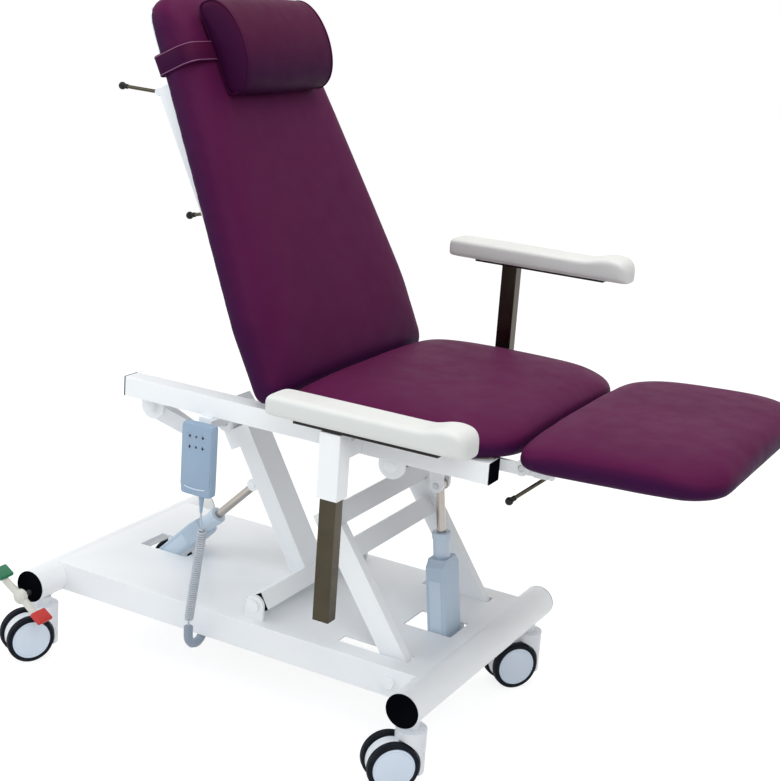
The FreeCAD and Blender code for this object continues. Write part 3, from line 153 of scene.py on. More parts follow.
@dataclass(frozen=True)
class Finish:
    """One surface finish, made once as a procedural material.

    Args:
        name: The material's name.
        colour: The main colour, linear.
        shade: The colour that soft patches drift towards.
        roughness: The mean roughness.
        spread: How far the roughness drifts.
        grain: The small relief.
        grain_per_m: Relief cells to the metre.
        relief: Strength of the relief.
        patch_per_m: Colour patches to the metre.
        metallic: 1 for bare metal.
        coat: Weight of a clear gloss layer.
        sheen: Weight of the soft glow that cloth and vinyl have.
        edge: How much lighter or darker an outer edge is.
        specular: How much the surface mirrors, where 0.5 is usual.
        painted_shade: Painted shade, the colour of faces that look sideways or down, as shares of the main
            one.
    """

    name: str
    colour: Colour
    shade: Colour
    roughness: float
    spread: float = 0.05
    grain: Grain = Grain.MOULDED
    grain_per_m: float = 900.0
    relief: float = 0.06
    patch_per_m: float = 7.0
    metallic: float = 0.0
    coat: float = 0.0
    sheen: float = 0.0
    edge: float = 0.0
    specular: float = 0.5
    painted_shade: Colour | None = None

    def material(self) -> bpy.types.Material:
        """The finish as a Blender material, made on first use."""
        found = bpy.data.materials.get(self.name)
        if found:
            return found
        made = bpy.data.materials.new(self.name)
        made.use_nodes = True
        made.diffuse_color = (*self.colour, 1.0)
        tree = made.node_tree
        place = node(tree, "TexCoord").outputs["Object"]
        patches = noise(tree, place, self.patch_per_m, 4.0)
        tint = mix(tree, span(tree, patches, *PATCH_SPAN), self.colour, self.shade)
        if self.edge:
            tint = self._edged(tree, tint)
        # Painted shade: faces that look sideways or down get a deeper tint.
        if self.painted_shade:
            tint = self._with_painted_shade(tree, tint)
        smears = noise(tree, place, self.patch_per_m * SMEARS_PER_PATCH, 5.0)
        rough = span(tree, smears, *SMEAR_SPAN, self.roughness - self.spread, self.roughness + self.spread)
        bump = node(tree, "Bump", {"Strength": self.relief, "Distance": RELIEF_DEPTH,
                                   "Height": self._relief(tree, place)})
        wire(tree, tree.nodes["Principled BSDF"], {
            "Base Color": tint, "Roughness": rough, "Metallic": self.metallic,
            "Specular IOR Level": self.specular, "Coat Weight": self.coat,
            "Coat Roughness": COAT_ROUGHNESS, "Sheen Weight": self.sheen,
            "Sheen Roughness": SHEEN_ROUGHNESS, "Normal": bump.outputs["Normal"]})
        return made

    def _edged(self, tree: Tree, tint: Socket) -> Socket:
        """The tint, lighter or darker along outer edges."""
        point = node(tree, "NewGeometry").outputs["Pointiness"]
        edge_tint = tuple(min(1.0, max(0.0, c * (1.0 + self.edge))) for c in self.colour)
        return mix(tree, span(tree, point, *EDGE_SPAN), tint, edge_tint)

    def _with_painted_shade(self, tree: Tree, tint: Socket) -> Socket:
        """The tint with painted shade, deeper where the surface turns away from the light above."""
        parts = node(tree, "SeparateXYZ", {"Vector": node(tree, "NewGeometry").outputs["Normal"]})
        deep = tuple(c * share for c, share in zip(self.colour, self.painted_shade))
        return mix(tree, span(tree, parts.outputs["Z"], *PAINTED_SHADE_SPAN), tint, deep)

    def _relief(self, tree: Tree, place: Socket) -> Socket:
        """The height of the small relief."""
        if self.grain is Grain.EMBOSSED:
            cells = {"Scale": self.grain_per_m, "Vector": place}
            return node(tree, "TexVoronoi", cells, feature="SMOOTH_F1").outputs["Distance"]
        stretch = {Grain.BRUSHED: (1.0, 1.0, 0.04), Grain.PLIED: (0.06, 1.0, 1.0)}.get(self.grain)
        if stretch:
            place = node(tree, "Mapping", {"Scale": stretch, "Vector": place}).outputs["Vector"]
        return noise(tree, place, self.grain_per_m, 2.0 if self.grain is Grain.COATED else 3.0)


POWDER = Finish("white_powder_coat", (0.92, 0.935, 0.95), (0.895, 0.915, 0.935), 0.36, 0.05,
                Grain.COATED, 420.0, 0.05, 4.0, coat=0.15, edge=0.06)
# Both plum vinyls paint shade onto faces that look sideways or down.
VINYL = Finish("embossed_plum_vinyl", (0.090, 0.0080, 0.0515), (0.083, 0.0072, 0.047), 0.56, 0.05,
               Grain.EMBOSSED, 1100.0, 0.20, 6.0, specular=0.06, painted_shade=(0.42, 0.55, 0.80))
PILLOW_VINYL = Finish("pillow_plum_vinyl", (0.066, 0.0054, 0.034), (0.060, 0.0048, 0.030), 0.54, 0.05,
                      Grain.EMBOSSED, 1100.0, 0.20, 8.0, specular=0.06, painted_shade=(0.55, 0.60, 0.95))
SEAM_VINYL = Finish("plum_piping", (0.24, 0.085, 0.19), (0.20, 0.065, 0.15), 0.46, 0.05,
                    Grain.EMBOSSED, 1500.0, 0.2, 30.0, specular=0.3)
BLACK_PLUG = Finish("moulded_black_plug", (0.0022, 0.0025, 0.004), (0.004, 0.0045, 0.006), 0.46, 0.06,
                    relief=0.03, specular=0.0)
BLACK_COAT = Finish("black_coat", (0.012, 0.010, 0.010), (0.020, 0.017, 0.016), 0.45, 0.07,
                    Grain.COATED, 700.0, edge=0.8, specular=0.2)
CASTOR_WHITE = Finish("glossed_castor_white", (0.84, 0.86, 0.89), (0.81, 0.83, 0.87), 0.30,
                      relief=0.03, coat=0.2)
DISC_PALE = Finish("wheel_disc", (0.74, 0.82, 0.93), (0.71, 0.79, 0.90), 0.38, relief=0.05)
TYRE = Finish("tyre_rubber", (0.006, 0.008, 0.013), (0.012, 0.014, 0.020), 0.62, 0.08,
              grain_per_m=700.0, relief=0.18, patch_per_m=26.0, edge=0.9, specular=0.1)
PALE_CASE = Finish("textured_pale_case", (0.51, 0.62, 0.74), (0.48, 0.59, 0.71), 0.46,
                   grain_per_m=1600.0, relief=0.12)
COLLAR = Finish("case_collar", (0.62, 0.72, 0.83), (0.59, 0.69, 0.80), 0.40, grain_per_m=1600.0,
                relief=0.08)
BRONZED = Finish("bronzed_post", (0.080, 0.069, 0.049), (0.062, 0.053, 0.038), 0.27, 0.05,
                 Grain.BRUSHED, 1500.0, 0.03, 6.0, metallic=1.0)
CHROME = Finish("chromed_rod", (0.50, 0.465, 0.43), (0.40, 0.365, 0.335), 0.18, 0.05,
                Grain.BRUSHED, 1800.0, 0.04, 9.0, metallic=1.0)
ZINC = Finish("zinc_pin", (0.52, 0.53, 0.55), (0.44, 0.45, 0.47), 0.38, 0.08, Grain.BRUSHED, 1500.0,
              0.08, metallic=1.0)
IVORY = Finish("moulded_ivory_pad", (0.735, 0.745, 0.725), (0.71, 0.72, 0.695), 0.55, 0.06,
               grain_per_m=1300.0, relief=0.22, patch_per_m=10.0, sheen=0.05)
CREAM = Finish("cream_pedal", (0.72, 0.71, 0.66), (0.68, 0.67, 0.61), 0.42, relief=0.06)
RED_PAD = Finish("red_pad", (0.58, 0.022, 0.016), (0.50, 0.018, 0.014), 0.40, grain_per_m=1300.0,
                 relief=0.15)
GREEN_PAD = Finish("green_pad", (0.018, 0.20, 0.09), (0.014, 0.17, 0.075), 0.40, grain_per_m=1300.0,
                   relief=0.15)
FACE_BLUE = Finish("handset_face", (0.315, 0.425, 0.56), (0.29, 0.395, 0.53), 0.48,
                   grain_per_m=1800.0, relief=0.06)
MARK = Finish("handset_mark", (0.012, 0.016, 0.030), (0.018, 0.022, 0.038), 0.5, specular=0.2)
KEY = Finish("handset_key", (0.35, 0.46, 0.60), (0.33, 0.435, 0.57), 0.5, relief=0.08)
CORD_GREY = Finish("smooth_cord_grey", (0.55, 0.58, 0.63), (0.50, 0.53, 0.58), 0.42, relief=0.06,
                   patch_per_m=40.0)
ELBOW_GREY = Finish("elbow_grey", (0.30, 0.35, 0.42), (0.26, 0.31, 0.38), 0.45, relief=0.08)
PLYWOOD = Finish("raw_plywood", (0.46, 0.32, 0.18), (0.38, 0.25, 0.13), 0.62, 0.08, Grain.PLIED,
                 300.0, 0.3, 14.0)
DUST_CLOTH = Finish("dust_cloth", (0.018, 0.018, 0.020), (0.026, 0.026, 0.028), 0.85, 0.06,
                    Grain.EMBOSSED, 1400.0, 0.5, 20.0)


def joint(name: str) -> dict:
    """A joint of the frame by its name."""
    return next(j for j in frame["joints"] if j["name"] == name)


def pivot(name: str) -> Vector:
    """The point that a hinge turns about."""
    return Vector(joint(name)["pos_m"])


def basis(x: Vector, y: Vector, z: Vector, spot: Vector) -> Matrix:
    """A matrix from three axes and an origin."""
    made = Matrix((x, y, z)).transposed().to_4x4()
    made.translation = spot
    return made


def local_box(node: str, matrix: Matrix) -> tuple[Vector, Vector]:
    """A CAD node's lowest and highest corners, measured along a matrix's own axes."""
    inverse = matrix.inverted()
    points = np.array([inverse @ v.co for v in frame["nodes"][node].data.vertices])
    return Vector(points.min(0)), Vector(points.max(0))


def in_mm(*pairs: tuple[float, float]) -> Outline:
    """Pairs given in millimetres, in metres."""
    return [(a * MM, b * MM) for a, b in pairs]


def placed(name: str, data: bpy.types.ID) -> Obj:
    """A new object of the scene for a mesh, a curve, a lamp or a camera."""
    made = bpy.data.objects.new(name, data)
    bpy.context.scene.collection.objects.link(made)
    return made


def settled(piece: Obj) -> bpy.types.Mesh:
    """A new mesh with a piece's modifiers, or its curve's thickness, worked in."""
    graph = bpy.context.evaluated_depsgraph_get()
    return bpy.data.meshes.new_from_object(piece.evaluated_get(graph))


def add_mesh(name: str, bm: BMesh, finishes: Sequence[Finish], matrix: Matrix | None = None) -> Obj:
    """Turn a bmesh into a smooth-shaded object of the scene.

    Args:
        name: The piece's name.
        bm: The mesh, which is freed.
        finishes: Its finishes, in the order of its faces' material numbers.
        matrix: Where it stands, if it isn't built in place.

    Returns:
        The new object.
    """
    if matrix is not None:
        bmesh.ops.transform(bm, matrix=matrix, verts=bm.verts)
    bmesh.ops.recalc_face_normals(bm, faces=bm.faces)
    mesh = bpy.data.meshes.new(name)
    bm.to_mesh(mesh)
    bm.free()
    mesh.shade_smooth()
    for finish in finishes:
        mesh.materials.append(finish.material())
    return placed(name, mesh)


def crisp(piece: Obj, angle: float = 35.0) -> Obj:
    """Keep a piece's hard edges hard while the rest shades smooth."""
    piece.data.set_sharp_from_angle(angle=math.radians(angle))
    return piece


def skin(bm: BMesh, rings: Sequence[Sequence[Vector]], finish: int = 0) -> None:
    """Join closed rings of points, in order, into a capped tube of quads."""
    rows = [[bm.verts.new(p) for p in ring] for ring in rings]
    count = len(rows[0])
    for low, high in zip(rows, rows[1:]):
        for i in range(count):
            after = (i + 1) % count
            bm.faces.new((low[i], low[after], high[after], high[i])).material_index = finish
    bm.faces.new(rows[0][::-1]).material_index = finish
    bm.faces.new(rows[-1]).material_index = finish


def turned(bm: BMesh, profile: Outline, matrix: Matrix, finish: int = 0, steps: int = 48) -> None:
    """Turn a profile of (radius, height) about a matrix's Z axis into a closed form."""
    angles = [2 * math.pi * i / steps for i in range(steps)]
    skin(bm, [[matrix @ Vector((r * math.cos(a), r * math.sin(a), z)) for a in angles]
              for r, z in profile], finish)


def rounded(bm: BMesh, low: Vector, high: Vector, radius: float, matrix: Matrix = Matrix(),
            finish: int = 0, segments: int = 4) -> None:
    """A block with rounded edges, between two corners of a matrix's own axes."""
    centre = (low + high) / 2
    span = high - low
    made = bmesh.ops.create_cube(bm, size=1.0)["verts"]
    for v in made:
        v.co = centre + Vector((v.co.x * span.x, v.co.y * span.y, v.co.z * span.z))
    edges = list({e for v in made for e in v.link_edges})
    grown = bmesh.ops.bevel(bm, geom=edges, offset=radius, segments=segments, profile=0.5, affect="EDGES")
    verts = {v for f in grown["faces"] for v in f.verts}
    verts |= {v for v in made if v.is_valid}
    bmesh.ops.transform(bm, matrix=matrix, verts=list(verts))
    for face in {f for v in verts for f in v.link_faces}:
        face.material_index = finish


def arc(centre: tuple[float, float], radius: float, start: float, end: float, steps: int) -> Outline:
    """Points of an arc in a plane, with its angles in degrees."""
    angles = (math.radians(start + (end - start) * i / steps) for i in range(steps + 1))
    return [(centre[0] + radius * math.cos(a), centre[1] + radius * math.sin(a)) for a in angles]


def keep(piece: Obj, body: str, slot: str, *nodes: str) -> Obj:
    """Set a finished piece on its body and hide the CAD nodes that it stands for."""
    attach(piece, body)
    if nodes:
        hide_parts(*nodes)
    LOG.info("%s on %s, %d faces", piece.name, body, len(piece.data.polygons))
    return piece


@dataclass
class Cushion:
    """A stuffed cushion with a rounded plan, whose crown rolls off to a rim that is lower at the corners.

    Args:
        name: The piece's name.
        node: The CAD solid that it stands for.
        body: The body that it rides on.
        matrix: Its axes: X along it, Y across, Z out of its face.
        halves: Half widths as (share of the length, half width), in order.
        corners: Plan radius at its start and its end.
        rim: Height of its side halfway between two corners.
        fall: Share of its height that a corner loses.
        tuck: How far its start goes on past the CAD solid, under its neighbour.
        wrap: How far it is drawn back over the edge of its board.
        fullness: How far in from the rim the crown is nearly flat.
        foot: Radius of its lower edge.
        bulge: How far its side stands out.
        around: Points round its plan.
        voxel: Spacing of its even mesh.
        cap: The furthest that the filling moves a point.
    """

    name: str
    node: str
    body: str
    matrix: Matrix
    halves: Outline
    corners: tuple[float, float]
    rim: float
    fall: float = 0.5
    tuck: float = 0.0
    wrap: float = 0.0
    fullness: float = 4.0
    foot: float = 9 * MM
    bulge: float = 2 * MM
    around: int = 240
    voxel: float = 6 * MM
    cap: float = 4 * MM

    def build(self) -> Obj:
        """Model, swell and dress the cushion.

        Returns:
            The finished piece.
        """
        low, high = local_box(self.node, self.matrix)
        low.x -= self.tuck
        low.z -= self.wrap
        long = high.x - low.x
        plan = self._plan(long)
        rings = [[Vector((low.x + x, y, low.z + z * self._kept(x / long, y)))
                  for x, y in self._inset(plan, inset, shrink)]
                 for inset, shrink, z in self._levels(high.z - low.z - self.cap / 2)]
        bm = bmesh.new()
        skin(bm, rings)
        bmesh.ops.remove_doubles(bm, verts=bm.verts, dist=0.2 * MM)
        piece = add_mesh(self.name, bm, [VINYL], self.matrix)
        swell(piece, self.voxel, self.cap)
        return keep(piece, self.body, "plum_vinyl", self.node)

    def _kept(self, share: float, y: float) -> float:
        """The share of the full height that is left at a point, less towards a corner."""
        return 1 - self.fall * (abs(2 * share - 1) * abs(y) / self._half(share)) ** 3

    def _half(self, share: float) -> float:
        """Half the width at a share of the length."""
        shares, widths = zip(*self.halves)
        return float(np.interp(share, shares, widths))

    def _plan(self, long: float) -> Outline:
        """The plan's outline, evenly spaced, from its start round to its start."""
        first, last = self.corners
        start = (first, self._half(first / long) - first)
        end = (long - last, self._half(1 - last / long) - last)
        side = arc(start, first, 180, 90, 12)
        side += [(x, self._half(x / long)) for x in np.linspace(first, long - last, 40)[1:-1]]
        side += arc(end, last, 90, 0, 12)
        loop = np.array(side + [(x, -y) for x, y in reversed(side)])
        closed = np.vstack([loop, loop[:1]])
        steps_long = np.linalg.norm(np.diff(closed, axis=0), axis=1)
        reach = np.concatenate([[0], np.cumsum(steps_long)])
        stops = np.linspace(0, reach[-1], self.around, endpoint=False)
        xs, ys = (np.interp(stops, reach, closed[:, axis]) for axis in (0, 1))
        return [(float(x), float(y)) for x, y in zip(xs, ys)]

    @staticmethod
    def _inset(plan: Outline, inset: float, shrink: float) -> Outline:
        """The plan moved in by a distance, then shrunk towards its middle by a share."""
        points = np.array(plan)
        along = np.roll(points, -2, axis=0) - np.roll(points, 2, axis=0)
        normal = np.stack([along[:, 1], -along[:, 0]], axis=1)
        normal /= np.linalg.norm(normal, axis=1)[:, None]
        moved = points + normal * inset
        centre = np.array([(points[:, 0].min() + points[:, 0].max()) / 2, 0.0])
        return [tuple(p) for p in moved + (centre - moved) * shrink]

    def _levels(self, tall: float) -> list[tuple[float, float, float]]:
        """Rings from the underside's middle to the face's middle, as (inset, shrink, height)."""
        levels = [(self.foot, s, 0.0) for s in (0.97, 0.8, 0.6, 0.4, 0.2, 0.08, 0.0)]
        quarter = [math.radians(a) for a in (30, 60, 90)]
        levels += [(self.foot * (1 - math.sin(a)), 0.0, self.foot * (1 - math.cos(a))) for a in quarter]
        wall = self.rim - self.foot
        levels += [(-self.bulge * math.sin(math.pi * t), 0.0, self.foot + wall * t)
                   for t in (0.33, 0.67, 1.0)]
        shares = (0.004, 0.012, 0.026, 0.045, 0.07, 0.1, 0.14, 0.19, 0.25, 0.33, 0.44, 0.58, 0.74,
                  0.9, 0.985)
        rise = tall - self.rim
        levels += [(0.0, s, self.rim + rise * math.sqrt(1 - (1 - s) ** self.fullness)) for s in shares]
        return levels


def swell(piece: Obj, voxel: float, cap: float) -> None:
    """Even out a cushion's mesh and let air pressure fill it, held to a small move.

    Args:
        piece: The cushion, whose mesh is replaced.
        voxel: Spacing of the even mesh.
        cap: The furthest that a point may move.
    """
    scene = bpy.context.scene
    even = piece.modifiers.new("even", "REMESH")
    even.mode = "VOXEL"
    even.voxel_size = voxel
    even.use_smooth_shade = True
    mesh = settled(piece)
    piece.modifiers.clear()
    piece.data = mesh
    rest = np.array([v.co for v in mesh.vertices])
    cloth = piece.modifiers.new("fill", "CLOTH")
    cloth.settings.quality = 4
    cloth.settings.use_pressure = True
    cloth.settings.uniform_pressure_force = FILL_PRESSURE
    cloth.settings.effector_weights.gravity = 0.0
    for number in range(1, FILL_FRAMES + 1):
        scene.frame_set(number)
    graph = bpy.context.evaluated_depsgraph_get()
    blown = piece.evaluated_get(graph)
    moved = np.array([v.co for v in blown.data.vertices]) - rest
    piece.modifiers.clear()
    scene.frame_set(1)
    reach = np.linalg.norm(moved, axis=1)[:, None]
    held = rest + moved * np.minimum(1.0, cap / np.maximum(reach, 1e-9))
    held = ironed(mesh, held, IRONING_ROUNDS)
    mesh.vertices.foreach_set("co", held.astype(np.float32).ravel())
    mesh.update()
    finer = piece.modifiers.new("finer", "SUBSURF")
    finer.levels = finer.render_levels = 1


def ironed(mesh: bpy.types.Mesh, spots: np.ndarray, rounds: int) -> np.ndarray:
    """Points evened out over their neighbours, so that taut vinyl has no ripples.

    Args:
        mesh: The mesh whose edges say which points are neighbours.
        spots: The points.
        rounds: How often each point moves halfway to its neighbours' mean.

    Returns:
        The moved points.
    """
    pairs = np.empty(2 * len(mesh.edges), dtype=np.int64)
    mesh.edges.foreach_get("vertices", pairs)
    one, two = pairs.reshape(-1, 2).T
    count = np.bincount(pairs, minlength=len(spots))[:, None]
    for _ in range(rounds):
        total = np.zeros_like(spots)
        np.add.at(total, one, spots[two])
        np.add.at(total, two, spots[one])
        spots = 0.5 * spots + 0.5 * total / count
    return spots


@dataclass
class HeadPillow:
    """The half-round head pillow, its piped ends and the strap round the back."""

    matrix: Matrix
    middle: float = 735 * MM
    half_tall: float = 105 * MM
    deep: float = 81 * MM
    rear: float = 69.5 * MM
    half_long: float = 172 * MM
    piping: float = 2.2 * MM
    strap_up: float = 736.5 * MM
    strap_half: float = 262 * MM
    strap_front: float = 69.8 * MM
    strap_rear: float = -23.8 * MM
    strap_wide: float = 45 * MM
    strap_thick: float = 2.4 * MM

    def build(self) -> None:
        """Model the pillow with its piping and the strap."""
        bm = bmesh.new()
        ends = [(0.0, 5, 0.05), (0.0, 5, 0.3), (0.0, 4, 0.6), (0.0, 2, 0.85), (0.0, 0, 0.96), (4, 0, 0.99),
                (14, 0, 1.0), (60, 0, 1.015), (130, 0, 1.03)]
        stations = [(-self.half_long + (inset - dome) * MM, grow) for inset, dome, grow in ends]
        stations += [(0.0, 1.035)] + [(-y, grow) for y, grow in reversed(stations)]
        skin(bm, [[Vector((v, y, u)) for v, u in self._section(grow)] for y, grow in stations])
        pillow = add_mesh("head_pillow_body", bm, [PILLOW_VINYL], self.matrix)
        keep(pillow, "headrest", "plum_vinyl", "head_pillow")
        for side in Side:
            y = side.value * (self.half_long - 1 * MM)
            path = [self.matrix @ Vector((v, y, u)) for v, u in self._section(0.985)]
            name = "head_pillow_piping_" + side.name.lower()
            line = cable(name, path, self.piping, PILLOW_VINYL, closed=True)
            keep(line, "headrest", "plum_vinyl")
        self._strap()

    def _section(self, grow: float) -> Outline:
        """The D-shaped section as (out, up), flat behind and round in front."""
        tall, deep = self.half_tall * max(1.0, grow), self.deep * max(1.0, grow)
        soft = 16 * MM
        points = [(0.0, u) for u in np.linspace(-tall + soft, tall - soft, 12)]
        points += arc((soft, tall - soft), soft, 180, 95, 5)[1:]
        for a in np.linspace(84, -84, 44):
            turn = math.radians(a)
            points.append((soft + (deep - soft) * math.cos(turn) ** 0.86, tall * math.sin(turn)))
        points += arc((soft, soft - tall), soft, -95, -180, 5)[:-1]
        shrink, centre = min(1.0, grow), 0.46 * self.deep
        return [(self.rear + centre + (v - centre) * shrink, self.middle + u * shrink) for v, u in points]

    def _strap(self) -> None:
        """The strap, which follows the cushion's side and the frame behind."""
        half, front, rear = self.strap_half, self.strap_front, self.strap_rear
        soft, tight = 30 * MM, 12 * MM
        path = arc((front - soft, half - soft), soft, 0, 90, 8)
        path += arc((rear + tight, half - tight), tight, 90, 180, 5)
        path += arc((rear + tight, tight - half), tight, 180, 270, 5)
        path += arc((front - soft, soft - half), soft, 270, 360, 8)
        bm = bmesh.new()
        spots = np.array(path)
        along = np.roll(spots, -1, axis=0) - np.roll(spots, 1, axis=0)
        out = np.stack([along[:, 1], -along[:, 0]], axis=1)
        out /= np.linalg.norm(out, axis=1)[:, None]
        half_wide, thick = self.strap_wide / 2, self.strap_thick / 2
        ring = [(-half_wide, -thick), (half_wide, -thick), (half_wide, thick * 0.4),
                (half_wide - 2 * MM, thick), (2 * MM - half_wide, thick), (-half_wide, thick * 0.4)]
        rows = [[bm.verts.new((p[0] + n[0] * t, p[1] + n[1] * t, self.strap_up + w)) for w, t in ring]
                for p, n in zip(spots, out)]
        for one, two in zip(rows, rows[1:] + rows[:1]):
            for i in range(len(ring)):
                after = (i + 1) % len(ring)
                bm.faces.new((one[i], one[after], two[after], two[i]))
        strap = crisp(add_mesh("head_pillow_strap", bm, [PILLOW_VINYL], self.matrix))
        keep(strap, "headrest", "plum_vinyl")
        face = spots + out * thick
        for name, shift in (("lower", 3 * MM - half_wide), ("upper", half_wide - 3 * MM)):
            path = [self.matrix @ Vector((v, y, self.strap_up + shift)) for v, y in face]
            name = "head_pillow_strap_%s_piping" % name
            keep(cable(name, path, 1.1 * MM, SEAM_VINYL, closed=True), "headrest", "plum_vinyl")


def cable(name: str, path: Iterable[Vector], radius: float, finish: Finish, closed: bool = False) -> Obj:
    """A round line along points, as a mesh tube.

    Args:
        name: The piece's name.
        path: Points that it follows.
        radius: Its radius.
        finish: Its finish.
        closed: Whether its end meets its start.

    Returns:
        The new object.
    """
    mesh = traced(name, list(path), "POLY", closed, bevel_depth=radius, bevel_resolution=2,
                  use_fill_caps=not closed)
    mesh.shade_smooth()
    mesh.materials.clear()
    mesh.materials.append(finish.material())
    return placed(name, mesh)


def traced(name: str, points: Sequence[Vector], kind: str, closed: bool = False,
           **settings: float) -> bpy.types.Mesh:
    """The mesh of a curve.

    Args:
        name: The mesh's name.
        points: The points that the curve goes through, or that control it.
        kind: The kind of spline.
        closed: Whether its end meets its start.
        settings: The curve's own settings.

    Returns:
        The new mesh.
    """
    curve = bpy.data.curves.new(name, "CURVE")
    curve.dimensions = "3D"
    for key, value in settings.items():
        setattr(curve, key, value)
    spline = curve.splines.new(kind)
    spline.points.add(len(points) - 1)
    for point, spot in zip(spline.points, points):
        point.co = (*spot, 1.0)
    spline.use_cyclic_u = closed
    if kind == "NURBS":
        spline.order_u = 3
        spline.use_endpoint_u = True
    holder = placed(name + "_line", curve)
    mesh = settled(holder)
    bpy.data.objects.remove(holder)
    return mesh


@dataclass
class ArmPad:
    """A moulded arm pad with a raised grip at its front end."""

    side: Side
    sections: tuple[Point, ...] = (
        (0.0, 0.78, 0.66), (0.004, 0.88, 0.82), (0.012, 0.95, 0.93), (0.03, 0.985, 0.985),
        (0.07, 1.0, 1.0), (0.40, 1.0, 1.0), (0.70, 0.985, 0.99), (0.765, 0.975, 0.99),
        (0.80, 0.98, 1.03), (0.84, 1.0, 1.16), (0.88, 1.02, 1.25), (0.92, 1.02, 1.25),
        (0.95, 0.99, 1.20), (0.972, 0.93, 1.10), (0.988, 0.82, 0.92), (0.997, 0.66, 0.68),
        (1.0, 0.52, 0.48))
    squareness: float = 4.5
    tall: float = 45 * MM

    def build(self) -> None:
        """Loft the pad along its length over its plate."""
        label = self.side.name.lower() + "_arm"
        low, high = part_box(label + "_pad")
        middle = (low.y + high.y) / 2
        half = (high.y - low.y) / 2
        rings = []
        for share, wide, tall in self.sections:
            x = low.x + (high.x - low.x) * share
            height = self.tall * tall
            lift = 0.0 if share > 0.5 else self.tall * max(0.0, 1 - tall) * 0.35
            rings.append([Vector((x, middle + half * wide * y, low.z + lift + height * (z + 1) / 2))
                          for y, z in soft_square(self.squareness, 40)])
        bm = bmesh.new()
        skin(bm, rings)
        piece = add_mesh(label + "_rest", bm, [IVORY])
        smooth = piece.modifiers.new("smooth", "SUBSURF")
        smooth.levels = smooth.render_levels = 2
        keep(piece, label, "ivory_pad", label + "_pad")


@dataclass
class TwinWheels:
    """A castor's two wheels: rubber tyres with plain dished discs."""

    name: str
    radius: float = 56.5 * MM
    inner: float = 17 * MM
    outer: float = 37 * MM
    disc: float = 45.5 * MM

    def build(self) -> None:
        """Turn both wheels on their axle."""
        turn = joint("roll_" + self.name)
        axle = Vector(turn["axis"]).normalized()
        rise = Vector((0, 0, 1))
        bm = bmesh.new()
        for sign in (-1, 1):
            out = axle * sign
            across = rise.cross(out)
            stand = basis(across.cross(out).normalized(), across.normalized(), out,
                          Vector(turn["pos_m"]))
            turned(bm, self._tyre(), stand, 0, 72)
            turned(bm, self._disc(), stand, 1, 64)
        piece = crisp(add_mesh("castor_%s_tyres" % self.name, bm, [TYRE, DISC_PALE]))
        keep(piece, "wheels_" + self.name, "tyre_dark", "castor_%s_wheels" % self.name)

    def _tyre(self) -> Outline:
        """The tyre's profile, with rounded shoulders, from the axle's inside to its seat for the disc."""
        soft = 5 * MM
        points = [(6 * MM, self.inner), (self.radius - soft, self.inner)]
        points += arc((self.radius - soft, self.inner + soft), soft, -90, 0, 6)[1:]
        points += arc((self.radius - soft, self.outer - soft), soft, 0, 90, 6)
        return points + [(self.disc + 1.2 * MM, self.outer), (self.disc + 0.6 * MM, self.outer - 2.2 * MM)]

    def _disc(self) -> Outline:
        """The disc's profile: a rim, a fine groove and a face that rises to the hub."""
        face = self.outer
        steps = [(0.2, -3.0), (0.2, -0.6), (-0.8, 0.2), (-3.6, 0.2), (-4.2, -0.9), (-5.4, -0.9),
                 (-6.0, 0.1), (-20.0, 0.9), (-34.0, 1.6), (-44.5, 1.8)]
        return [(self.disc + grow, face + rise) for grow, rise in in_mm(*steps)]


@dataclass
class BrakePedal:
    """The rocker pedal with a red pad at its front and a green one at its rear."""

    slope: float = 33.0
    reach: float = 72 * MM
    plane: float = -379 * MM
    half_tall: float = 8 * MM
    half_wide: float = 7 * MM
    sag: float = 4 * MM
    pad_half: float = 17 * MM

    def build(self) -> None:
        """Loft the rocker, its boss and its two pads on the brake's pivot."""
        spot = pivot("brake_rock")
        spot.y = self.plane
        stand = Matrix.Translation(spot) @ Matrix.Rotation(math.radians(self.slope), 4, "Y")
        bm = bmesh.new()
        rings = []
        for i in range(25):
            share = i / 12 - 1
            tip = abs(share) > 0.99
            tall = self.half_tall * (1 - 0.25 * share ** 2) * (0.55 if tip else 1.0)
            wide = self.half_wide * (0.6 if tip else 1.0)
            drop = -self.sag * share ** 2
            rings.append([stand @ Vector((self.reach * share * 1.12, wide * y, drop + tall * z))
                          for y, z in soft_square(5.0, 24)])
        skin(bm, rings)
        sideways = stand @ Matrix.Rotation(math.radians(90), 4, "X")
        boss = in_mm((14, -8), (17, -6), (17, 6), (15, 8), (9, 8.6), (8, 10), (2, 10.6))
        turned(bm, boss, sideways, 0, 40)
        turned(bm, in_mm((7, -60), (7, -7)), sideways, 3, 24)
        for number, sign in ((1, 1), (2, -1)):
            rounded(bm, Vector((sign * self.reach - self.pad_half, -24 * MM, 2.5 * MM)),
                    Vector((sign * self.reach + self.pad_half, 24 * MM, 13 * MM)), 5 * MM, stand, number, 5)
        piece = crisp(add_mesh("brake_rocker", bm, [CREAM, RED_PAD, GREEN_PAD, ZINC]), 50)
        keep(piece, "brake", "brake_cream", "brake_pedal")


def soft_square(power: float, count: int) -> Outline:
    """A unit square with round corners, as a superellipse."""
    points = []
    for i in range(count):
        a = 2 * math.pi * i / count
        y = math.copysign(abs(math.cos(a)) ** (2 / power), math.cos(a))
        z = math.copysign(abs(math.sin(a)) ** (2 / power), math.sin(a))
        points.append((y, z))
    return points


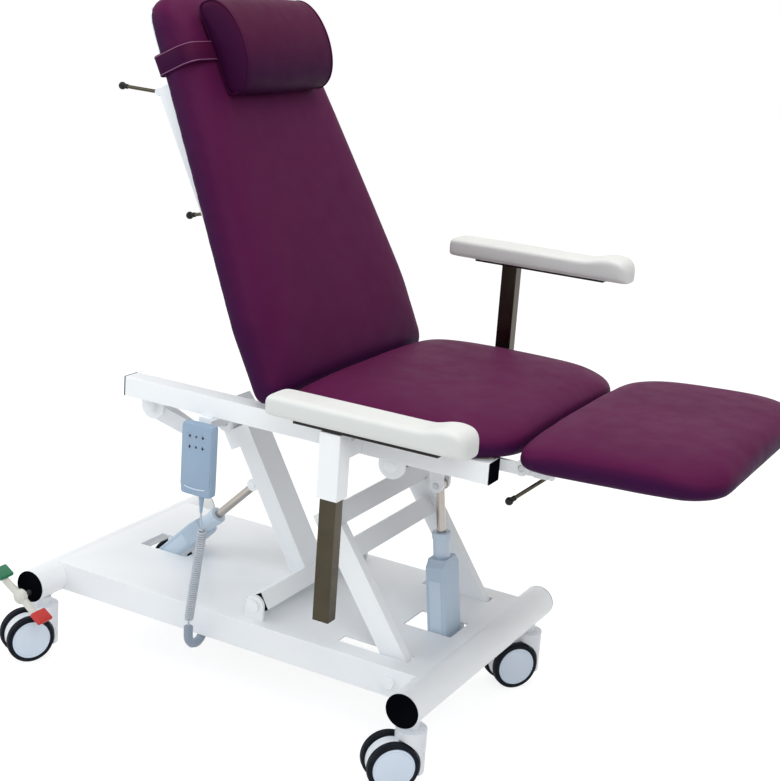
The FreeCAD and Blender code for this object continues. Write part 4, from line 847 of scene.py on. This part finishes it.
@dataclass
class Actuator:
    """A linear actuator's case: motor block with a recessed panel, shoulder, collar and tube."""

    name: str
    case_top: float
    mouth: float
    half_deep: float = 24 * MM
    half_wide: float = 39.5 * MM
    tube: float = 19.5 * MM
    bore: float = 10.6 * MM

    def build(self) -> None:
        """Model the case along its rod, from its lower pin up."""
        foot = pivot(self.name + "_case_swing")
        up = self._axis(foot)
        side = Vector((0, 1, 0))
        stand = basis(side.cross(up), side, up, foot)
        bm = bmesh.new()
        stations = [(-20 * MM, 0.94, 0.97), (-18.5 * MM, 0.985, 0.99), (-16 * MM, 1.0, 1.0)]
        stations += [(self.case_top + down * MM, deep, wide) for down, deep, wide in (
            (-18, 1.0, 1.0), (-16, 0.99, 0.98), (-8, 0.96, 0.82), (-5, 0.95, 0.76),
            (-1.5, 0.94, 0.73), (0, 0.90, 0.70))]
        rings = [[stand @ Vector((self.half_deep * deep * x, self.half_wide * wide * y, z))
                  for y, x in soft_square(11.0, 56)] for z, deep, wide in stations]
        skin(bm, rings)
        for sign in (-1, 1):
            face = self.half_wide * sign
            rounded(bm, Vector((-14 * MM, face - 0.6 * MM, 4 * MM)),
                    Vector((14 * MM, face + 0.7 * MM, self.case_top - 48 * MM)), 0.6 * MM, stand, 1, 2)
        tube, top, lip = self.tube, self.mouth, self.tube + 1.6 * MM
        collar = [(tube - 1 * MM, self.case_top - 3 * MM), (tube, self.case_top), (tube, top - 16 * MM),
                  (lip, top - 15 * MM), (lip, top - 1.5 * MM), (tube + 0.4 * MM, top),
                  (self.bore, top), (self.bore, top - 20 * MM)]
        turned(bm, collar, stand, 1, 48)
        piece = crisp(add_mesh(self.name + "_actuator_motor", bm, [PALE_CASE, COLLAR]), 35)
        keep(piece, self.name + "_actuator_case", "pale_case", self.name + "_actuator_case")

    def _axis(self, foot: Vector) -> Vector:
        """The way that the rod points, from the lower pin to the rod's eye."""
        points = np.array([v.co for v in frame["nodes"][self.name + "_actuator_rod"].data.vertices])
        far = points[np.linalg.norm(points - np.array(foot), axis=1) > 0.25].mean(0)
        return Vector((far[0] - foot.x, 0, far[2] - foot.z)).normalized()


@dataclass
class Handset:
    """The hand control: a flat case with a face panel, wells for its keys, a low ledge and a boot."""

    boot_long: float = 18 * MM
    boot_ahead: float = 10 * MM
    panel_half: float = 38 * MM
    well: float = 6.3 * MM
    keys: tuple[tuple[int, float], ...] = ((1, 0.0), (2, 180.0), (3, 0.0), (4, 180.0))

    def build(self) -> None:
        """Loft the case, lay its panel, ledge and boot on it and mark its keys."""
        low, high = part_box("handset_case")
        foot = low.z + self.boot_long
        middle = Vector(((low.x + high.x) / 2, (low.y + high.y) / 2, foot))
        half, deep, tall = (high.x - low.x) / 2, (high.y - low.y) / 2, high.z - foot
        stations = [(0.0, 0.86, 0.74), (0.007, 0.92, 0.86), (0.022, 0.965, 0.95), (0.05, 0.985, 0.99),
                    (0.12, 0.99, 1.0), (0.6, 1.0, 1.0), (0.95, 1.0, 1.0), (0.985, 0.99, 0.97),
                    (1.0, 0.965, 0.90)]
        bm = bmesh.new()
        skin(bm, [[middle + Vector((half * wide * x, deep * thick * y, tall * up))
                   for x, y in soft_square(8.0, 56)] for up, wide, thick in stations])
        keep(self._with_wells("handset_body", bm), "seat_frame", "pale_case", "handset_case")
        bm = bmesh.new()
        corner = Vector((self.panel_half, 1.2 * MM, tall * 0.42))
        centre = Vector((middle.x, low.y + 0.85 * MM, foot + tall * 0.545))
        rounded(bm, centre - corner, centre + corner, 0.6 * MM, Matrix(), 0, 2)
        keep(self._with_wells("handset_panel", bm), "seat_frame", "pale_case")
        boot = in_mm((2.6, -40), (3.1, -39.4), (3.4, -34), (4.0, -26), (4.9, -18), (5.8, -10),
                     (6.8, -3), (7.2, 1.0))
        bm = bmesh.new()
        turned(bm, boot, Matrix.Translation(middle + Vector((self.boot_ahead, 0, 0))), 0, 32)
        keep(crisp(add_mesh("handset_boot", bm, [FACE_BLUE]), 40), "seat_frame", "pale_case")
        ledge = [Vector((middle.x + 27 * MM * t, low.y - 0.6 * MM,
                         foot + tall * 0.115 - 3 * MM * (1 - t * t))) for t in np.linspace(-1, 1, 21)]
        keep(cable("handset_ledge", ledge, 1.7 * MM, COLLAR), "seat_frame", "pale_case")
        for number, turn in self.keys:
            spot = self._key_face(number)
            mark = self._mark("handset_arrow_%d" % number, spot, turn, 1.3)
            keep(mark, "handset_key_%d" % number, "key_grey")
            if number % 2:
                spot = Vector((middle.x, low.y - 0.35 * MM, spot.z))
                figure = self._mark("handset_figure_%d" % number, spot, 45.0 * number, 1.1)
                keep(figure, "seat_frame", "pale_case")

    @staticmethod
    def _key_face(number: int) -> Vector:
        """The middle of a key's face."""
        low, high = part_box("handset_key_%d" % number)
        return Vector(((low.x + high.x) / 2, low.y, (low.z + high.z) / 2))

    def _with_wells(self, name: str, solid: BMesh) -> Obj:
        """A piece of the case, with a round well cut into it for each key."""
        piece = crisp(add_mesh(name, solid, [FACE_BLUE]), 40)
        bm = bmesh.new()
        inward = Matrix.Rotation(math.radians(-90), 4, "X")
        for number, _ in self.keys:
            turned(bm, [(self.well, -8 * MM), (self.well, 4.6 * MM)],
                   Matrix.Translation(self._key_face(number)) @ inward, 0, 40)
        cutter = add_mesh("wells", bm, [])
        wells = piece.modifiers.new("wells", "BOOLEAN")
        wells.operation = "DIFFERENCE"
        wells.object = cutter
        mesh = settled(piece)
        piece.modifiers.clear()
        piece.data = mesh
        bpy.data.objects.remove(cutter)
        return crisp(piece, 40)

    @staticmethod
    def _mark(name: str, spot: Vector, turn: float, scale: float) -> Obj:
        """A plain arrow on a face that looks along -Y."""
        stand = Matrix.Translation(spot) @ Matrix.Rotation(math.radians(turn), 4, "Y")
        stand = stand @ Matrix.Scale(scale, 4)
        outline = in_mm((-3.2, -1.0), (0.0, 3.0), (3.2, -1.0), (1.1, -1.0), (1.1, -3.4), (-1.1, -3.4),
                        (-1.1, -1.0))
        bm = bmesh.new()
        skin(bm, [[stand @ Vector((x, y * MM, z)) for x, z in outline] for y in (0.2, -0.15)])
        return crisp(add_mesh(name, bm, [MARK]), 20)


@dataclass
class LeverKnob:
    """The black ball grip on a release lever's tip."""

    lever: str
    hinge: str
    cad_ball: float = 8 * MM
    ball: float = 8.5 * MM

    def build(self) -> None:
        """Turn the ball and its collar about the lever's bar."""
        start = pivot(self.hinge)
        points = np.array([v.co for v in frame["nodes"][self.lever].data.vertices])
        far = Vector(points[np.argmax(np.linalg.norm(points - np.array(start), axis=1))])
        out = (far - start).normalized()
        aim = out.to_track_quat("Z", "Y").to_matrix().to_4x4()
        stand = Matrix.Translation(far - out * self.cad_ball) @ aim
        profile = in_mm((4.4, -15), (5.4, -14.4), (5.4, -7.5))
        profile += arc((0.0, 0.0), self.ball, -48, 88, 14)
        bm = bmesh.new()
        turned(bm, profile, stand, 0, 32)
        keep(crisp(add_mesh(self.lever + "_knob", bm, [BLACK_COAT]), 40), self.lever, "lever_bronze")


@dataclass
class DomeBolts:
    """Painted dome heads on the bolts of the seat frame's round plates."""

    plates: tuple[float, ...] = (-458 * MM, 154 * MM)
    up: float = 679 * MM
    face: float = 276.6 * MM
    radius: float = 13 * MM
    rise: float = 5 * MM

    def build(self) -> None:
        """Turn a head on each plate of both rails."""
        profile = [(self.radius * math.cos(a), self.rise * math.sin(a)) for a in np.linspace(0.0, 1.54, 9)]
        bm = bmesh.new()
        for side in Side:
            turn = Matrix.Rotation(math.radians(-90 * side.value), 4, "X")
            for x in self.plates:
                turned(bm, profile, Matrix.Translation((x, side.value * self.face, self.up)) @ turn, 0, 36)
        keep(add_mesh("rail_plate_bolts", bm, [POWDER]), "seat_frame", "white_coat")


@dataclass
class DustCover:
    """The cloth tacked over the rear of the back's board, inside its frame."""

    matrix: Matrix
    low: tuple[float, float, float] = (-23.4 * MM, -203 * MM, 60 * MM)
    high: tuple[float, float, float] = (-21.8 * MM, 203 * MM, 686 * MM)

    def build(self) -> None:
        """Lay the cloth on the board."""
        bm = bmesh.new()
        rounded(bm, Vector(self.low), Vector(self.high), 0.7 * MM, self.matrix, 0, 2)
        keep(crisp(add_mesh("back_dust_cover", bm, [DUST_CLOTH])), "back", "plum_vinyl")


@dataclass
class HandsetCord:
    """The curly cord from the handset's boot down to the moulded elbow under the tray."""

    leave: tuple[float, float, float] = (-266 * MM, -339 * MM, 514 * MM)
    straight: float = 48 * MM
    coil_top: tuple[float, float, float] = (-262 * MM, -336 * MM, 454 * MM)
    coil_low: tuple[float, float, float] = (-315 * MM, -300 * MM, 211 * MM)
    arrive: tuple[float, float, float] = (-315 * MM, -300 * MM, 195 * MM)
    turns: int = 41
    per_turn: int = 14
    curl: float = 8.5 * MM
    radius: float = 2.3 * MM
    elbow_radius: float = 10.5 * MM
    elbow_low: float = 174 * MM
    elbow_bend: float = 31 * MM
    elbow_top: float = 193.5 * MM

    def build(self) -> None:
        """Lay the cord as a tube on its smooth line, then the elbow that it plugs into."""
        line = self._line()
        piece = cable("handset_curly_cord", line, self.radius, CORD_GREY)
        elbow = self._elbow()
        keep(piece, "base", "cord_grey", "handset_cord")
        top, low = Vector(self.leave), Vector(self.arrive)
        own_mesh(piece)
        LOG.info("cord %.3f m, hangs %.3f m", self._length(line), (top - low).length)

    @staticmethod
    def _length(line: Sequence[Vector]) -> float:
        """A line's length."""
        return sum((b - a).length for a, b in zip(line, line[1:]))

    def _line(self) -> list[Vector]:
        """The cord's line, read from a smooth spline through its straight ends and its curls."""
        top, low = Vector(self.coil_top), Vector(self.coil_low)
        along = (low - top).normalized()
        one = along.cross(Vector((0, 1, 0))).normalized()
        two = along.cross(one)
        leave, arrive = Vector(self.leave), Vector(self.arrive)
        points = [leave, leave - Vector((0, 0, self.straight / 2)), leave - Vector((0, 0, self.straight))]
        count = self.turns * self.per_turn
        for i in range(count + 1):
            share = i / count
            angle = 2 * math.pi * self.turns * share
            ease = self.curl * min(1.0, share * 60, (1 - share) * 60)
            swing = one * ease * math.cos(angle) + two * ease * math.sin(angle)
            points.append(top.lerp(low, share) + swing)
        points += [arrive + Vector((0, 0, 8 * MM)), arrive]
        return spline_points(points)

    def _elbow(self) -> Obj:
        """The moulded elbow, a U from the cord's end up into the socket."""
        x, y, _ = self.arrive
        points = [Vector(self.arrive), Vector((x, y, self.elbow_low))]
        for a in np.linspace(0, math.pi, 9)[1:-1]:
            points.append(Vector((x, y + self.elbow_bend * (1 - math.cos(a)),
                                  self.elbow_low - self.elbow_bend * math.sin(a))))
        points += [Vector((x, y + 2 * self.elbow_bend, self.elbow_low)),
                   Vector((x, y + 2 * self.elbow_bend, self.elbow_top))]
        line = spline_points(points)
        piece = cable("cord_elbow_moulding", line, self.elbow_radius, ELBOW_GREY)
        return keep(piece, "base", "cord_grey", "cord_elbow")


def spline_points(points: Sequence[Vector]) -> list[Vector]:
    """Points read along the smooth spline that a route's points control.

    Args:
        points: The route, as control points.

    Returns:
        Points along the spline.
    """
    mesh = traced("route", points, "NURBS", resolution_u=3)
    read = [v.co.copy() for v in mesh.vertices]
    bpy.data.meshes.remove(mesh)
    return read


@dataclass
class CadDress:
    """Finishes and softened edges for the CAD nodes that stay."""

    weld: float = 0.02 * MM
    flat_angle: float = 0.8
    bevel: float = 1.4 * MM
    bevel_share: float = 0.12
    edge_angle: float = 32.0
    finishes: tuple[tuple[Finish, tuple[str, ...]], ...] = (
        (POWDER, ("front_tube", "rear_tube", "tray", "base_lugs", "lift_arm", "lift_cross_tube",
                  "front_legs", "leg_top_beam", "seat_rails", "seat_cross_tubes", "frame_brackets",
                  "rear_yoke", "arm_sleeves", "back_frame", "leg_rest_frame", "base_pivot_pins",
                  "handset_hook")),
        (BLACK_PLUG, ("tube_end_caps", "rail_caps", "cross_tube_caps", "cord_socket")),
        (BLACK_COAT, ("near_arm_plate", "far_arm_plate", "gas_spring_cylinders", "control_box")),
        (CASTOR_WHITE, tuple("castor_%s_housing" % name for name in CASTORS)),
        (BRONZED, ("near_arm_post", "far_arm_post", "upper_back_lever", "lower_back_lever",
                   "leg_rest_lever")),
        (CHROME, ("front_actuator_rod", "rear_actuator_rod", "back_spring_rod", "leg_spring_rod")),
        (ZINC, ("seat_pivot_pins",)),
        (PLYWOOD, ("seat_board",)),
        (KEY, tuple("handset_key_%d" % number for number in range(1, 5))))

    def build(self) -> None:
        """Dress every CAD node that still shows."""
        for finish, names in self.finishes:
            for name in names:
                solid = frame["nodes"][name]
                solid.data.materials.clear()
                solid.data.materials.append(finish.material())
                self._soften(solid)
                LOG.info("%s dressed as %s", name, finish.name)

    def _soften(self, solid: Obj) -> None:
        """Round a node's hard edges a little, as paint and moulding do."""
        solid.modifiers.new("weld", "WELD").merge_threshold = self.weld
        flat = solid.modifiers.new("flat", "DECIMATE")
        flat.decimate_type = "DISSOLVE"
        flat.angle_limit = math.radians(self.flat_angle)
        soft = solid.modifiers.new("edges", "BEVEL")
        soft.width = min(self.bevel, self.bevel_share * min(solid.dimensions))
        soft.segments = 2
        soft.limit_method = "ANGLE"
        soft.angle_limit = math.radians(self.edge_angle)
        soft.harden_normals = False
        solid.modifiers.new("normals", "WEIGHTED_NORMAL").keep_sharp = True


@dataclass
class Studio:
    """Camera, pale floor, soft lights and a plain white surround."""

    eye: Point = (1.5255, -2.8765, 1.6887)
    look: Point = (-0.4667, 0.8459, -0.2582)
    right: Point = (0.8649, 0.4975, 0.0667)
    lens: float = 69.92
    sensor: float = 36.0
    shift: tuple[float, float] = (0.0257, -0.0409)
    ambient: float = 0.48
    floor_half: float = 60.0
    floor_white: float = 0.6
    floor_glow: float = 1.36
    aim: Point = (0.0, 0.0, 0.7)
    lamps: tuple[tuple[str, Point, float, float, Colour], ...] = (
        ("key", (2.2, -2.6, 3.4), 56.0, 2.4, (0.90, 0.96, 1.0)),
        ("fill", (-3.2, -2.2, 2.6), 50.0, 2.6, (0.84, 0.93, 1.0)),
        ("top", (0.1, 0.4, 4.2), 72.0, 3.0, (1.0, 0.965, 0.935)))

    def build(self) -> None:
        """Set the camera, the floor, the lights and the world."""
        self._camera()
        self._floor()
        self._world()
        for lamp in self.lamps:
            self._light(*lamp)
        bpy.context.scene.view_settings.view_transform = "Standard"

    def _camera(self) -> None:
        """The photograph's view."""
        look = Vector(self.look).normalized()
        right = Vector(self.right).normalized()
        data = bpy.data.cameras.new("view")
        data.lens = self.lens
        data.sensor_width = self.sensor
        data.shift_x, data.shift_y = self.shift
        camera = placed("view", data)
        camera.matrix_world = basis(right, right.cross(look), -look, Vector(self.eye))
        bpy.context.scene.camera = camera

    def _floor(self) -> None:
        """A pale floor that is white to the eye and keeps the shadow."""
        bm = bmesh.new()
        bmesh.ops.create_grid(bm, x_segments=1, y_segments=1, size=self.floor_half)
        mesh = bpy.data.meshes.new("floor")
        bm.to_mesh(mesh)
        bm.free()
        floor = placed("floor", mesh)
        material = bpy.data.materials.new("pale_floor")
        material.use_nodes = True
        tree = material.node_tree
        paint = wire(tree, tree.nodes["Principled BSDF"],
                     {"Base Color": (0.90, 0.90, 0.90, 1.0), "Roughness": 0.9})
        glow = node(tree, "Emission", {"Strength": self.floor_glow})
        share = span(tree, self._seen(tree), 0.0, 1.0, 0.0, self.floor_white)
        both = node(tree, "MixShader", {0: share, 1: paint.outputs["BSDF"], 2: glow.outputs["Emission"]})
        wire(tree, tree.nodes["Material Output"], {"Surface": both.outputs["Shader"]})
        mesh.materials.append(material)

    def _world(self) -> None:
        """White where the surround is seen or mirrored, a softer level where it only lights."""
        world = bpy.data.worlds.new("surround")
        bpy.context.scene.world = world
        world.use_nodes = True
        tree = world.node_tree
        level = span(tree, self._seen(tree), 0.0, 1.0, self.ambient, 1.0)
        wire(tree, tree.nodes["Background"], {"Color": (1.0, 1.0, 1.0, 1.0), "Strength": level})

    @staticmethod
    def _seen(tree: Tree) -> Socket:
        """1 on rays from the eye, straight or by way of a mirror or glass, 0 on those that only light."""
        path = node(tree, "LightPath")
        seen = path.outputs["Is Camera Ray"]
        for name in ("Is Glossy Ray", "Is Transmission Ray"):
            larger = node(tree, "Math", {0: seen, 1: path.outputs[name]}, operation="MAXIMUM")
            seen = larger.outputs["Value"]
        return seen

    def _light(self, name: str, spot: Point, power: float, size: float, tint: Colour) -> None:
        """A soft square lamp that faces the chair's middle."""
        data = bpy.data.lights.new(name, "AREA")
        data.energy = power
        data.color = tint
        data.size = size
        lamp = placed(name, data)
        lamp.location = spot
        away = Vector(spot) - Vector(self.aim)
        lamp.rotation_euler = away.to_track_quat("Z", "Y").to_euler()


def leaning(degrees: float) -> tuple[Vector, Vector]:
    """Two directions at right angles in the chair's upright plane, as (along, up) at a slope."""
    slope = math.radians(degrees)
    return Vector((math.cos(slope), 0, math.sin(slope))), Vector((-math.sin(slope), 0, math.cos(slope)))


def back_matrix() -> Matrix:
    """The back's axes: X up it from its hinge, Y across, Z out of its face."""
    out, up = leaning(BACK_LEAN)
    return basis(up, Vector((0, -1, 0)), out, pivot("recline"))


def pillow_matrix() -> Matrix:
    """The pillow's axes: X out of the back's face, Y across, Z up the back."""
    out, up = leaning(BACK_LEAN)
    return basis(out, Vector((0, 1, 0)), up, pivot("recline"))


def rest_matrix() -> Matrix:
    """The leg rest's axes: X along it from its hinge, Y across, Z up."""
    along, up = leaning(REST_RISE)
    return basis(along, Vector((0, 1, 0)), up, pivot("leg_rest_tilt"))


def main() -> None:
    """Build every sub-assembly in order."""
    logging.basicConfig(level=logging.INFO, format="%(name)s %(message)s")
    Studio().build()
    HandsetCord().build()
    Handset().build()
    Cushion("seat_pad", "seat_cushion", "seat_frame", Matrix(), [(0, 335 * MM), (1, 335 * MM)],
            (40 * MM, 125 * MM), 42 * MM, fall=0.4).build()
    Cushion("back_pad", "back_cushion", "back", back_matrix(),
            [(0, 333 * MM), (0.19, 333 * MM), (1, 237 * MM)], (26 * MM, 62 * MM), 52 * MM, fall=0.2,
            tuck=18 * MM, wrap=11 * MM, fullness=7.0, foot=5 * MM, bulge=0.0).build()
    Cushion("leg_rest_pad", "leg_rest_cushion", "leg_rest", rest_matrix(), [(0, 330 * MM), (1, 330 * MM)],
            (52 * MM, 92 * MM), 43 * MM).build()
    HeadPillow(pillow_matrix()).build()
    for side in Side:
        ArmPad(side).build()
    for name in CASTORS:
        TwinWheels(name).build()
    BrakePedal().build()
    Actuator("front", 204 * MM, 262 * MM).build()
    Actuator("rear", 178 * MM, 228 * MM).build()
    for lever, hinge in (("upper_back", "upper"), ("lower_back", "lower"), ("leg_rest", "leg")):
        LeverKnob(lever + "_lever", hinge + "_lever_pull").build()
    DomeBolts().build()
    DustCover(pillow_matrix()).build()
    CadDress().build()


if __name__ == "__main__":
    main()
